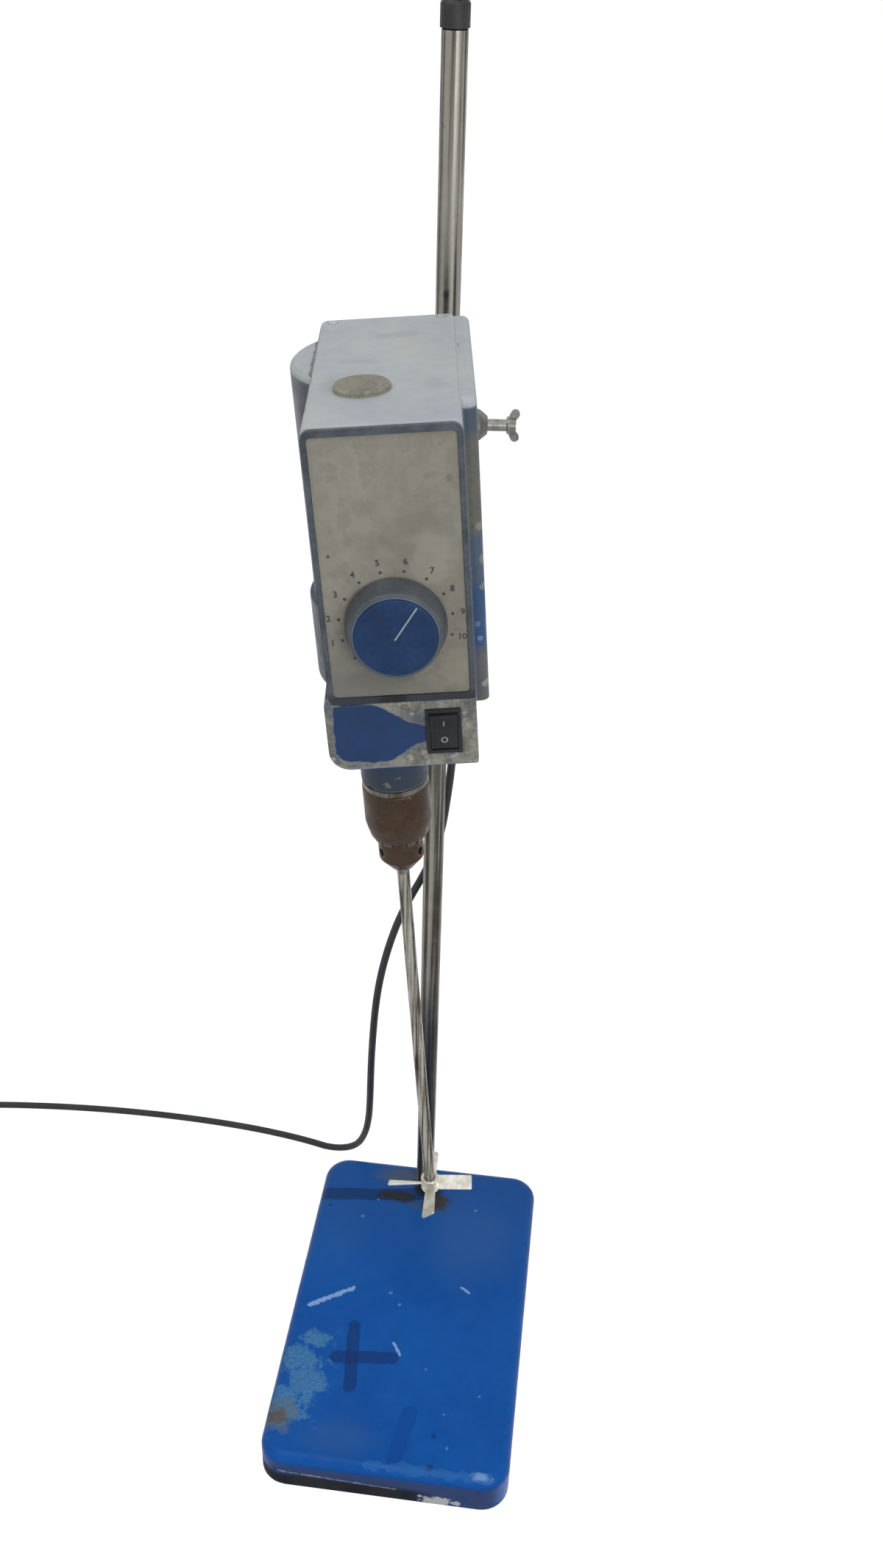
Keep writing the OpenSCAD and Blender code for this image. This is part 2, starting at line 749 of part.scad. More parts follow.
// Drive train
module spindle_tube() {
    color("silver") on_spindle() difference() {
        post(spindle_d / 2, neck_z - 8, -12);
        post(spindle_bore / 2, neck_z - 9, -11);
    }
}
module spindle_bearings() {
    color("gray") on_spindle() for (z = [neck_z + 1, -body_h - 12]) difference() {
        post(bearing_r, z, z + bearing_h);
        post(spindle_d / 2 + run_fit, z - 1, z + bearing_h + 1);
    }
}
module pulley(r, bore) {
    difference() {
        union() {
            post(r, belt_z, belt_z + pulley_h);
            post(r + flange_out, belt_z, belt_z + flange_t);
            post(r + flange_out, belt_z + pulley_h - flange_t, belt_z + pulley_h);
        }
        post(bore, belt_z - 1, belt_z + pulley_h + 1);
    }
}
module spindle_pulley() {
    color("darkgray") on_spindle() pulley(big_r, spindle_d / 2 + snug);
}
module motor_pulley() {
    color("darkgray") on_motor() pulley(small_r, motor_shaft_r + snug);
}
module belt_loop(extra) {
    hull() {
        translate([spindle_x, spindle_y]) circle(big_r + extra);
        translate([motor_x, motor_y]) circle(small_r + extra);
    }
}
module drive_belt() {
    color("black") on_head() translate([0, 0, belt_z + flange_t + belt_gap]) linear_extrude(belt_h)
        difference() {
            belt_loop(belt_gap + belt_t);
            belt_loop(belt_gap);
        }
}
module motor_can() {
    color("silver") on_motor() difference() {
        post(motor_r, can_z, can_z + can_h);
        post(motor_r - can_t, can_z + can_t, can_z + can_h - can_t);
        post(motor_shaft_r + run_fit, can_z - 1, can_z + can_h + 1);
    }
}
module motor_rotor() {
    color("gray") on_motor() {
        post(motor_shaft_r, belt_z, can_z + can_h + 22);
        post(motor_r - 12, can_z + winding_h, can_z + can_h - winding_h);
    }
}
module cooling_fan() {
    fan_z = can_z + can_h + 4;
    color("black") on_motor() difference() {
        union() {
            post(motor_r - 8, fan_z, fan_z + 1.5);
            post(8, fan_z, fan_z + 14);
            for (a = [0:45:315]) rotate([0, 0, a]) translate([6, -0.7, fan_z]) cube([motor_r - 15, 1.4, 12]);
        }
        post(motor_shaft_r + snug, fan_z - 1, fan_z + 15);
    }
}

// Electronics behind the panel
board_y = front_y + body_wall + 1;
board_t = 1.6;
board_w = body_w - 22;
board_top = -22;
board_end = block_z + 16;
// Module that the parts on the board are measured in
board_u = (board_top - board_end) / 58;
module on_panel(y) {
    on_head() translate([0, y, 0]) rotate([-90, 0, 0]) mirror([0, 1, 0]) children();
}
module control_board() {
    color("green") on_panel(0) difference() {
        union() {
            translate([-board_w / 2, board_end, board_y]) cube([board_w, board_top - board_end, board_t]);
            for (x = [-1, 1], z = [board_top - 5, board_end + 5]) translate([x * (board_w / 2 - 5), z, 0])
                post(3, front_y, board_y + 0.5);
        }
        translate([0, -knob_z, 0]) post(5, board_y - 1, board_y + board_t + 1);
    }
}
module board_parts() {
    back = board_y + board_t;
    color("dimgray") on_panel(0) {
        translate([-12 * board_u, board_top - 19 * board_u, back]) cube([11, 13, 8] * board_u);
        translate([2 * board_u, board_top - 17 * board_u, back]) cube([10, 2.5, 11] * board_u);
        translate([-7 * board_u, board_top - 28 * board_u, 0]) post(2.5 * board_u, back, back + 10 * board_u);
        translate([6 * board_u, board_top - 25 * board_u, 0]) post(3 * board_u, back, back + 7 * board_u);
        translate([-11 * board_u, board_end + 3 * board_u, back]) cube([7, 4.5, 5] * board_u);
    }
}
module potentiometer() {
    back = board_y + board_t;
    color("silver") on_panel(0) translate([0, -knob_z, 0]) {
        post(9, back, back + 9);
        post(4.9, -0.6, back);
        post(3, -knob_h + cap_t + 3.6, 0);
    }
}
module arm_set_screw() {
    color("black") on_head() translate([0, body_d - arm_insert / 2, -arm_drop]) difference() {
        post(2.5, -socket_r + 1, -rod_r - 0.1);
        post(1.3, -socket_r, -socket_r + 4, 1.3, $fn = 6);
    }
}
module cord_gland() {
    color("black") on_head() translate([gland_x, body_d, gland_z]) rotate([-90, 0, 0]) {
        post(8, 0, gland_flange);
        post(6, gland_flange, gland_flange + gland_l, cord_r + 0.8);
        post(3.3, -body_wall - 3, 0);
        post(5, -body_wall - 5, -body_wall);
    }
}

// Chuck
module jaw_axis(i) {
    rotate([0, 0, 120 * i + 30]) translate([jaw_centre, 0, tip_z]) rotate([0, jaw_tilt, 0]) children();
}
module chuck_body() {
    nose_z = tip_z + 2;
    color("silver") on_spindle() difference() {
        union() {
            post(chuck_r - 0.4, neck_z - 0.8 - ring_t, neck_z - 0.8);
            post(core_r, nose_z + cone_l, neck_z - 0.8);
            post(tip_r, nose_z, nose_z + cone_l, core_r);
        }
        post(spindle_d / 2 + snug, neck_z - 8, neck_z + 1);
        post(spindle_bore / 2, tip_z, neck_z);
        for (i = [0:2]) jaw_axis(i) post(jaw_r + run_fit, -2, jaw_l + jaw_travel + 0.4);
        for (i = [0:2]) rotate([0, 0, 120 * i + 90]) translate([core_r + 1, 0, tip_z + nose_l - 6])
            rotate([0, -90, 0]) cylinder(h = 6, r = 2.6);
    }
}
module chuck_sleeve() {
    color("saddlebrown") on_spindle() difference() {
        rotate_extrude() polygon([
            [core_r + run_fit, sleeve_end],
            [chuck_r - 4.4, sleeve_end],
            [chuck_r - 2.3, sleeve_end + 4],
            [chuck_r - 0.9, sleeve_end + 9.5],
            [chuck_r, sleeve_end + 14],
            [chuck_r, sleeve_z - 0.6],
            [chuck_r - 0.6, sleeve_z],
            [core_r + run_fit, sleeve_z]]);
        for (i = [1:teeth]) rotate([0, 0, i * 360 / teeth]) translate([core_r, -1, sleeve_end - 1])
            cube([chuck_r, 2, 4.4]);
    }
}
module chuck_jaw(i) {
    color("gray") on_spindle() difference() {
        jaw_axis(i) post(jaw_r, 0, jaw_l);
        post(shaft_d / 2 + run_fit, tip_z - 2, 0);
    }
}
module chuck_jaw_1() { chuck_jaw(0); }
module chuck_jaw_2() { chuck_jaw(1); }
module chuck_jaw_3() { chuck_jaw(2); }
module stirrer_shaft() {
    color("silver") on_spindle() {
        post(shaft_d / 2, shaft_end, shaft_top - 1);
        post(shaft_d / 2, shaft_top - 1, shaft_top, shaft_d / 2 - 1);
    }
}
module propeller() {
    color("gainsboro") on_spindle() rotate([0, 0, prop_turn]) difference() {
        union() {
            post(hub_r, shaft_end - 1, shaft_end + hub_h - 1);
            for (a = [0:90:270]) rotate([0, 0, a]) translate([hub_r - 2, 0, shaft_end + hub_h / 2 - 1])
                rotate([blade_pitch, 0, 0]) translate([0, -blade_w / 2, -0.75])
                    cube([prop_d / 2 - hub_r + 2, blade_w, 1.5]);
        }
        post(shaft_d / 2 + snug, shaft_end, shaft_end + hub_h + 9);
        rotate([0, 0, 45]) translate([0, 0, shaft_end + hub_h - 3.5]) rotate([0, 90, 0])
            post(1.5 + snug, 0, hub_r + 1);
    }
}
module hub_screw() {
    color("gray") on_spindle() rotate([0, 0, prop_turn + 45]) translate([0, 0, shaft_end + hub_h - 3.5])
        rotate([0, 90, 0]) post(1.5, shaft_d / 2 + 0.1, hub_r - 0.2);
}

// Mains cord
function unit(v) = v / norm(v);
function along(line, i) = unit(line[min(i + 1, len(line) - 1)] - line[max(i - 1, 0)]);
function side_of(d) = unit(cross_of(d, abs(d[2]) > 0.8 ? [1, 0, 0] : [0, 0, 1]));
function cross_of(a, b) = [
    a[1] * b[2] - a[2] * b[1], a[2] * b[0] - a[0] * b[2], a[0] * b[1] - a[1] * b[0]];
// Side vector carried along the line without a twist
function carried(line, i) = i == 0 ? side_of(along(line, 0)) :
    let (d = along(line, i), s = carried(line, i - 1)) unit(s - (s * d) * d);
function ring(line, i, sides) = let (d = along(line, i), u = carried(line, i), v = cross_of(d, u))
    [for (k = [0:sides - 1]) line[i] + cord_r * (cos(360 * k / sides) * u + sin(360 * k / sides) * v)];
module tube(line) {
    sides = 10;
    last = len(line) - 1;
    points = [for (i = [0:last]) each ring(line, i, sides)];
    start = [for (k = [0:sides - 1]) k];
    finish = [for (k = [sides - 1:-1:0]) last * sides + k];
    walls = [for (i = [0:last - 1], k = [0:sides - 1])
        let (a = i * sides, b = a + sides, n = (k + 1) % sides)
            each [[a + k, b + n, a + n], [a + k, b + k, b + n]]];
    polyhedron(points, concat([start, finish], walls));
}
module mains_cord() {
    color("black") {
        tube(cord_line);
        tube(tail_line);
    }
}
module cord_coil() {
    color("black") translate([coil_x, coil_y, floor_z]) rotate_extrude() union() {
        translate([coil_r - cord_d, 0]) square([2 * cord_d, cord_d]);
        translate([coil_r - cord_r, 0]) square([cord_d, cord_d + top_turn]);
    }
}
module coil_tie() {
    tie_r = cord_d + 0.5;
    color("black") translate([coil_x, coil_y - coil_r, floor_z]) difference() {
        translate([-3, -tie_r - 1, 0]) cube([6, 2 * tie_r + 2, cord_d + top_turn + 1.4]);
        translate([-4, -tie_r, -1]) cube([8, 2 * tie_r, cord_d + top_turn + 1.2]);
    }
}
module plug_body() {
    color("black") translate([tail_x, plug_y, plug_z]) rotate([90, 0, 0]) {
        post(cord_r + 1, 0, plug_neck_l, 9);
        post(13, plug_neck_l, plug_neck_l + 4, plug_r);
        post(plug_r, plug_neck_l + 4, plug_neck_l + plug_l);
    }
}
module plug_pins() {
    color("silver") translate([tail_x, plug_y, plug_z]) rotate([90, 0, 0]) for (s = [-1, 1])
        translate([s * pin_gap / 2, 0, 0]) {
            post(pin_r, plug_neck_l + plug_l, plug_neck_l + plug_l + pin_l - 1);
            post(pin_r, plug_neck_l + plug_l + pin_l - 1, plug_neck_l + plug_l + pin_l, pin_r - 1);
        }
}

base_plate();
base_feet();
foot_screws();
stand_rod();
rod_washer();
rod_nut();
rod_cap();
boss_head();
rod_wing_screw();
arm_wing_screw();
extension_arm();
housing();
top_cover();
cover_screws();
panel_bezel();
front_panel();
dial_marks();
speed_knob();
knob_cap();
knob_pointer();
switch_frame();
switch_rocker();
spindle_cap();
spindle_tube();
spindle_bearings();
spindle_pulley();
drive_belt();
motor_pulley();
motor_can();
motor_rotor();
cooling_fan();
control_board();
board_parts();
potentiometer();
arm_set_screw();
cord_gland();
chuck_body();
chuck_sleeve();
chuck_jaw_1();
chuck_jaw_2();
chuck_jaw_3();
stirrer_shaft();
propeller();
hub_screw();
mains_cord();
cord_coil();
coil_tie();
plug_body();
plug_pins();
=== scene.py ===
# %% [markdown]
# An overhead stirrer hangs its motor head on a tall rod over a flat plate. The
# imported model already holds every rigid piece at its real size, so this lesson
# gives those pieces round edges, worn paint, print and a real mains cord.

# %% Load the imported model
import json
from math import cos, pi, radians, sin

import bmesh
import bpy
from mathutils import Matrix, Vector


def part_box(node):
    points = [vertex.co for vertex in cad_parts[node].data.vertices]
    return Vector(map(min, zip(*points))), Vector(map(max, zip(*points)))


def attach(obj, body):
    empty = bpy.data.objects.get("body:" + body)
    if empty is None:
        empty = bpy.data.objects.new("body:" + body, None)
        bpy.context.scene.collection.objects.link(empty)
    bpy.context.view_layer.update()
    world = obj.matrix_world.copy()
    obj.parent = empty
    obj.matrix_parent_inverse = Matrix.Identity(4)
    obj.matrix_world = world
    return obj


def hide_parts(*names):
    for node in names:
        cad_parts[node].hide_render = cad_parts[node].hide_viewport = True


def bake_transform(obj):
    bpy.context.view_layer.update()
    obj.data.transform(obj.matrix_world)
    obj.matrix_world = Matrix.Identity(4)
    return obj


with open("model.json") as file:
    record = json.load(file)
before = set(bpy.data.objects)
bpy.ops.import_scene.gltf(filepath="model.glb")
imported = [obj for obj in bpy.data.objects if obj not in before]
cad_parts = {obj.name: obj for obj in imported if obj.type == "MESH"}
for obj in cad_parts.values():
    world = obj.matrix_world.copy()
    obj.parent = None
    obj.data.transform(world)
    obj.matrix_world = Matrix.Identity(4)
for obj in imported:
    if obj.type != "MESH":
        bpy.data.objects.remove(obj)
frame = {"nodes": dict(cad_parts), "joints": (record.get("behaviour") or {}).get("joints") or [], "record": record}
nodes = frame["nodes"]
joints = {joint["name"]: joint for joint in frame["joints"]}
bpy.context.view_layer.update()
mm = 0.001

# %% [markdown]
# The head isn't square to the stand: it is turned about the rod and rolled
# about its arm. Each piece on it is made in the head's own frame (x right, y
# back from the panel, z up from the lid) and one matrix takes it to its place.

# %% Places on the stirrer
rod_axis = Vector(joints["swing"]["pos_m"])
clamp_z = joints["head_roll"]["pos_m"][2]
head_yaw = radians(7.8)
head_roll = radians(-4.5)
arm_cross = 30 * mm
arm_reach = 73.8 * mm
head_depth = 190 * mm
arm_drop = 92 * mm
swing_place = Matrix.Translation(rod_axis) @ Matrix.Rotation(head_yaw, 4, "Z")
arm_place = swing_place @ Matrix.Translation((-arm_cross, -arm_reach, clamp_z))
head_place = (
    arm_place
    @ Matrix.Rotation(head_roll, 4, "Y")
    @ Matrix.Translation((0, -head_depth, arm_drop))
)
floor_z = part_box("base_feet")[0][2]
print("head origin", [round(v, 4) for v in head_place.translation])

# %% [markdown]
# The camera stands where the photographer stood: in front, a little to the
# right and above the head, looking down at the plate. A long lens value and a
# small roll come from fitting known corners of the stand and the head.

# %% Camera
camera_turn = radians(6.19)
camera_pitch = radians(33.32)
camera_roll = radians(1.65)
camera_data = bpy.data.cameras.new("camera")
camera_data.sensor_fit = "VERTICAL"
camera_data.sensor_height = 36
camera_data.lens = 33.46
camera = bpy.data.objects.new("camera", camera_data)
bpy.context.scene.collection.objects.link(camera)
camera.matrix_world = (
    Matrix.Translation((0.10275, -0.8074, 1.07765))
    @ Matrix.Rotation(camera_turn, 4, "Z")
    @ Matrix.Rotation(pi / 2 - camera_pitch, 4, "X")
    @ Matrix.Rotation(camera_roll, 4, "Z")
)
bpy.context.scene.camera = camera

# %% [markdown]
# A mains cord is one fixed length of lead. It leaves the gland straight, drops
# behind the rod, swings left and runs along the bench to a small coil. Its
# hanging points are listed, and the coil's turns are worked out.

# %% The cord's route
cord_radius = 3.25 * mm
cord_lie = floor_z + cord_radius
gland_across, gland_drop, gland_length = 33, 165, 31  # mm
gland_spot = (gland_across, head_depth / mm + gland_length, -gland_drop)
cord_exit = head_place @ (Vector(gland_spot) * mm)
cord_aim = swing_place.to_3x3() @ Vector((0, 1, 0))
hanging_points = [
    (12.5, 124, 669),
    (11, 138, 655),
    (10, 147, 632),
    (9.6, 151, 603),
    (9.4, 153, 570),
    (9, 153, 535),
    (8, 152.5, 500),
    (6.3, 151.5, 464),
    (3.9, 151, 435),
    (0, 151, 402),
    (-6.5, 151, 374),
    (-14.5, 150.5, 352),
    (-23.5, 150, 331),
    (-32.5, 150, 308),
    (-40, 150, 283),
    (-46.5, 151, 255),
    (-51.5, 152.5, 226),
    (-55, 154.5, 196),
    (-57.5, 157, 164),
    (-59.5, 160, 132),
    (-61, 163.5, 100),
    (-62.5, 168, 68),
    (-65, 174, 37),
    (-70, 181, 9),
    (-79, 188.5, -15),
    (-94, 195.5, -30.5),
]
bench_points = [
    (-114, 201.5),
    (-145, 208),
    (-185, 213.5),
    (-230, 217),
    (-280, 218.5),
    (-330, 218),
    (-380, 215.5),
    (-425, 211.5),
    (-458, 207.5),
]
coil_centre = Vector((-500 * mm, 165 * mm, cord_lie))
coil_radius = 36 * mm


def coil_turns(steps=20):
    """Outer turn, inner turn, then one more that lies on both."""
    outer = coil_radius + cord_radius
    inner = coil_radius - cord_radius
    on_top = 1.75 * cord_radius
    line = []
    for i in range(int(3.25 * steps) + 1):
        turns = i / steps
        angle = pi / 2 + 2 * pi * turns
        slip = min(max((turns - 0.86) / 0.14, 0), 1)
        climb = min(max((turns - 1.80) / 0.20, 0), 1)
        slip, climb = (t * t * (3 - 2 * t) for t in (slip, climb))
        radius = outer + (inner - outer) * slip + (coil_radius - inner) * climb
        spot = Vector((radius * cos(angle), radius * sin(angle), on_top * climb))
        line.append(coil_centre + spot)
    return line


tail_points = [
    (-537.4, 149, 6.6), (-538.6, 134, 8.3), (-539.2, 119, 11), (-539.25, 107, 13.6), (-539.25, 97, 14.75)
]


def on_curve(points, step=6 * mm):
    """A smooth line through the points, with a point about every step."""
    line = []
    last = len(points) - 1
    for i in range(last):
        before, start, end, after = (points[min(max(j, 0), last)] for j in (i - 1, i, i + 1, i + 2))
        pieces = max(1, round((end - start).length / step))
        for j in range(pieces):
            t = j / pieces
            line.append(
                0.5
                * (
                    2 * start
                    + (end - before) * t
                    + (2 * before - 5 * start + 4 * end - after) * t * t
                    + (3 * start - before - 3 * end + after) * t * t * t
                )
            )
    return line + [points[-1]]


cord_points = [cord_exit, cord_exit + 14 * mm * cord_aim]
cord_points += [Vector(point) * mm for point in hanging_points]
cord_points += [Vector((x * mm, y * mm, cord_lie)) for x, y in bench_points]
cord_points += [Vector((-478 * mm, 204.65 * mm, cord_lie))]
cord_points += coil_turns()
cord_points += [Vector((x * mm, y * mm, cord_lie + up * mm)) for x, y, up in tail_points]
cord_line = on_curve(cord_points)
for spot in cord_line:
    spot.z = max(spot.z, cord_lie)
cord_length = sum((b - a).length for a, b in zip(cord_line, cord_line[1:]))
print("cord length", round(cord_length, 3), "m")

# %% [markdown]
# The line becomes a round tube by giving a curve some bevel, and the curve is
# turned into a mesh. Three joints lie between the plug and the gland, so the
# tube is made in three stretches: the first two share the hanging part above
# the boss head's height, and the long one runs from there to the plug. Three
# joints lie between the plug and the gland, and a piece can bend across only
# one.


# %% The mains cord
def new_piece(name, mesh):
    piece = bpy.data.objects.new(name, mesh)
    bpy.context.scene.collection.objects.link(piece)
    return piece


def meshed(shape):
    """A curve or text object as a plain mesh object of the same name."""
    bpy.context.scene.collection.objects.link(shape)
    bpy.context.view_layer.update()
    mesh = bpy.data.meshes.new_from_object(shape.evaluated_get(bpy.context.evaluated_depsgraph_get()))
    name = shape.name
    bpy.data.objects.remove(shape)
    return new_piece(name, mesh)


def cord_tube(name, line):
    data = bpy.data.curves.new("cord", "CURVE")
    data.dimensions = "3D"
    data.bevel_depth = cord_radius
    data.bevel_resolution = 4
    data.use_fill_caps = True
    spline = data.splines.new("POLY")
    spline.points.add(len(line) - 1)
    for point, spot in zip(spline.points, line):
        point.co = (*spot, 1)
    tube = meshed(bpy.data.objects.new(name, data))
    for polygon in tube.data.polygons:
        polygon.use_smooth = True
    return tube


slide_height = 616 * mm  # the cord follows the boss head above this height
slide_end = next(i for i, spot in enumerate(cord_line) if spot.z < slide_height)
roll_end = slide_end // 2
lead_roll = cord_tube("lead_roll", cord_line[: roll_end + 1])
lead_slide = cord_tube("lead_slide", cord_line[roll_end : slide_end + 1])
lead = cord_tube("lead", cord_line[slide_end:])
leads = [lead_roll, lead_slide, lead]
for stretch in leads:
    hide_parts("mains_cord")
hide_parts("cord_coil")
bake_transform(lead_roll)
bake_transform(lead_slide)
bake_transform(lead)
print("cord stretches end at", [tuple(round(x, 3) for x in cord_line[i]) for i in (roll_end, slide_end)])

# %% [markdown]
# Cast, turned and moulded pieces all have slightly round edges, and light
# running along them is what makes a model look real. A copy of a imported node
# is merged, its sharp edges are rounded by a Bevel modifier, and Weighted
# Normal keeps the flat faces flat.


# %% Helpers for pieces
def finish_piece(piece, body, stands_for=(), edge=0.0, steps=2, corner=30):
    """Smooth shading, round edges, and the body that the piece rides on."""
    mesh = piece.data
    for polygon in mesh.polygons:
        polygon.use_smooth = True
    mesh.set_sharp_from_angle(angle=radians(60 if edge else 32))
    if edge:
        bevel = piece.modifiers.new("round edges", "BEVEL")
        bevel.width = edge
        bevel.segments = steps
        bevel.limit_method = "ANGLE"
        bevel.angle_limit = radians(corner)
        bevel.use_clamp_overlap = False
        bevel.loop_slide = False
        bevel.offset_type = "ABSOLUTE"
    weighted = piece.modifiers.new("flat faces", "WEIGHTED_NORMAL")
    weighted.keep_sharp = True
    if stands_for:
        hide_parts(*stands_for)
    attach(piece, body)
    return piece


def from_bmesh(name, bm, place):
    """The bmesh as an object at the origin, with its place in its mesh."""
    bmesh.ops.transform(bm, matrix=place, verts=bm.verts)
    bmesh.ops.recalc_face_normals(bm, faces=bm.faces)
    mesh = bpy.data.meshes.new(name)
    bm.to_mesh(mesh)
    bm.free()
    return new_piece(name, mesh)


def merged_copy(node, name):
    """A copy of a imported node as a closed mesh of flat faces."""
    bm = bmesh.new()
    bm.from_mesh(nodes[node].data)
    bmesh.ops.remove_doubles(bm, verts=bm.verts, dist=0.003 * mm)
    bmesh.ops.dissolve_limit(bm, angle_limit=radians(0.4), verts=bm.verts, edges=bm.edges)
    mesh = bpy.data.meshes.new(name)
    bm.to_mesh(mesh)
    bm.free()
    return new_piece(name, mesh)


def lathe(bm, profile, steps=64):
    """Turns a profile of (radius, height) points in mm about the z axis."""
    rim = [bm.verts.new((radius * mm, 0, height * mm)) for radius, height in profile]
    edges = [bm.edges.new(pair) for pair in zip(rim, rim[1:])]
    bmesh.ops.spin(
        bm,
        geom=rim + edges,
        cent=(0, 0, 0),
        axis=(0, 0, 1),
        dvec=(0, 0, 0),
        angle=2 * pi,
        steps=steps,
        use_merge=True,
    )
    bmesh.ops.remove_doubles(bm, verts=bm.verts, dist=0.001 * mm)


# %% [markdown]
# Most of the metal and plastic pieces need nothing but rounder edges. One
# table lists each of them with the radius that its kind of casting or moulding
# has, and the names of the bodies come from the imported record.

# %% Pieces with rounded edges
body_of = {node: body for body, group in frame["record"]["behaviour"]["bodies"].items() for node in group}
slot_of = {part["node"]: part["material_slot"] for part in frame["record"]["subparts"]}
edge_radius = {
    "base_plate": 0.6,
    "base_feet": 0.8,
    "rod_cap": 0.8,
    "boss_head": 1.0,
    "rod_wing_screw": 0.5,
    "arm_wing_screw": 0.5,
    "housing": 1.3,
    "top_cover": 0.5,
    "panel_bezel": 0.45,
    "front_panel": 0.25,
    "switch_frame": 0.5,
    "switch_rocker": 0.4,
    "spindle_cap": 0.6,
    "chuck_body": 0.35,
    "chuck_sleeve": 0.35,
    "plug_body": 1.2,
    "coil_tie": 0.4,
    "rod_nut": 0.4,
}
pieces = {}
for node, radius in edge_radius.items():
    piece = merged_copy(node, node + "_shaped")
    pieces[node] = finish_piece(
        piece, body_of[node], stands_for=[node], edge=radius * mm
    )
print("rounded pieces", len(pieces))

# %% [markdown]
# The real cord is one piece.


# %% [markdown]
# The speed knob is a grey skirt that narrows towards its face, with a thin
# bright rim round a navy disc. All three are turned shapes, so a lathe spin of
# half a section makes them, and the pointer is a thin bar let into the disc.

# %% Speed knob
knob_drop = 107 * mm
dial_step = 23.5
pointer_turn = radians(dial_step * 1.5)
knob_place = (
    head_place
    @ Matrix.Translation((0, 0, -knob_drop))
    @ Matrix.Rotation(pointer_turn, 4, "Y")
    @ Matrix.Rotation(pi / 2, 4, "X")
)
skirt_profile = [
    (3.1, 12), (3.1, 1), (26.2, 1), (27, 1.7), (27, 3.4), (26.5, 4.3), (24.6, 13.6),
    (24.1, 14.8), (23.4, 15.3), (22.3, 15.3), (22.1, 14.6), (4, 14.6), (3.1, 12),
]
rim_profile = [(21.8, 15), (23.2, 15), (23.2, 15.8), (22.9, 16.4), (22.3, 16.6), (21.9, 16.2), (21.8, 15)]
disc_profile = [(0, 14.7), (21.7, 14.7), (21.9, 16.4), (21.6, 17.1), (20.9, 17.45), (12, 17.5), (0, 17.5)]


def turned(name, profile, place, body, stands_for=(), steps=96):
    bm = bmesh.new()
    lathe(bm, profile, steps)
    return finish_piece(from_bmesh(name, bm, place), body, stands_for)


knob_skirt = turned("knob_skirt", skirt_profile, knob_place, "knob", ["speed_knob"])
knob_rim = turned("knob_rim", rim_profile, knob_place, "knob")
knob_disc = turned("knob_disc", disc_profile, knob_place, "knob", ["knob_cap"])


def bar(bm, x, y, z):
    """A box between two corners, each given as a pair of limits in mm."""
    middle = Vector([(low + high) / 2 for low, high in (x, y, z)]) * mm
    size = [(high - low) * mm for low, high in (x, y, z)]
    place = Matrix.Translation(middle) @ Matrix.Diagonal((*size, 1))
    return bmesh.ops.create_cube(bm, size=1, matrix=place)["verts"]


bm = bmesh.new()
bar(bm, (-0.45, 0.45), (-1, 20.6), (17.3, 17.7))
knob_line = finish_piece(
    from_bmesh("knob_line", bm, knob_place), "knob", ["knob_pointer"], edge=0.12 * mm
)
print("knob pieces", 4)

# %% [markdown]
# The panel's numbers are screen print: text objects, raised a few hundredths
# of a millimetre and turned into mesh. They stand upright on a circle round
# the knob, just outside their dots.

# %% Print on the panel and on the switch
panel_place = head_place @ Matrix.Rotation(pi / 2, 4, "X")
number_ring = 35.6 * mm
number_size = 4.9 * mm
print_height = 0.04 * mm


def lettering(name, text, size, place, centre, height=print_height):
    data = bpy.data.curves.new(name, "FONT")
    data.body = text
    data.size = size
    data.extrude = height / 2
    data.offset = 0.022 * size
    data.align_x = "CENTER"
    data.align_y = "CENTER"
    data.resolution_u = 3
    piece = meshed(bpy.data.objects.new(name, data))
    piece.data.transform(place @ Matrix.Translation(centre))
    return piece


def joined(name, parts):
    """Several mesh objects as one."""
    bm = bmesh.new()
    for part in parts:
        bm.from_mesh(part.data)
        bpy.data.objects.remove(part)
    mesh = bpy.data.meshes.new(name)
    bm.to_mesh(mesh)
    bm.free()
    return new_piece(name, mesh)


numbers = []
for value in range(1, 11):
    angle = radians(dial_step * (value - 5.5))
    spot = (number_ring * sin(angle), number_ring * cos(angle) - knob_drop, print_height / 2)
    numbers.append(lettering("number", str(value), number_size, panel_place, spot))
dial_numbers = joined("dial_numbers", numbers)
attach(dial_numbers, "head")

switch_tilt = radians(7)
switch_place = (
    head_place
    @ Matrix.Translation((21.6 * mm, -1 * mm, -173 * mm))
    @ Matrix.Rotation(pi / 2, 4, "X")
    @ Matrix.Rotation(switch_tilt, 4, "X")
)
# Each half of the rocker is a plane that rises from its middle to its end
half_slope = radians(6.2)
marks = []
for text, side in (("I", 1), ("O", -1)):
    half = switch_place @ Matrix.Translation((0, 0, 1.4 * mm)) @ Matrix.Rotation(side * half_slope, 4, "X")
    marks.append(lettering("mark", text, 5 * mm, half, (0, side * 5.6 * mm, 0.03 * mm)))
switch_marks = joined("switch_marks", marks)
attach(switch_marks, "rocker")
print("numbers", len(numbers), "marks", len(marks))

# %% [markdown]
# The propeller is bent from sheet: four blades with a little twist on a short
# hub. A grid is rotated column by column for the twist, its outer corners are
# rounded, and solidify gives it the sheet's thickness.

# %% Propeller
spindle_spot = (-10.9, 57.6)
head_height, neck_length = 196, 42  # mm, as the next values
chuck_length, chuck_grip = 70, 55
shaft_length = 352
shaft_foot = chuck_grip - head_height - neck_length - chuck_length - shaft_length
spindle_place = head_place @ Matrix.Translation((spindle_spot[0] * mm, spindle_spot[1] * mm, 0))
blade_root, blade_tip = 4.5, 31
blade_width = 10.5
blade_sheet = 1.4


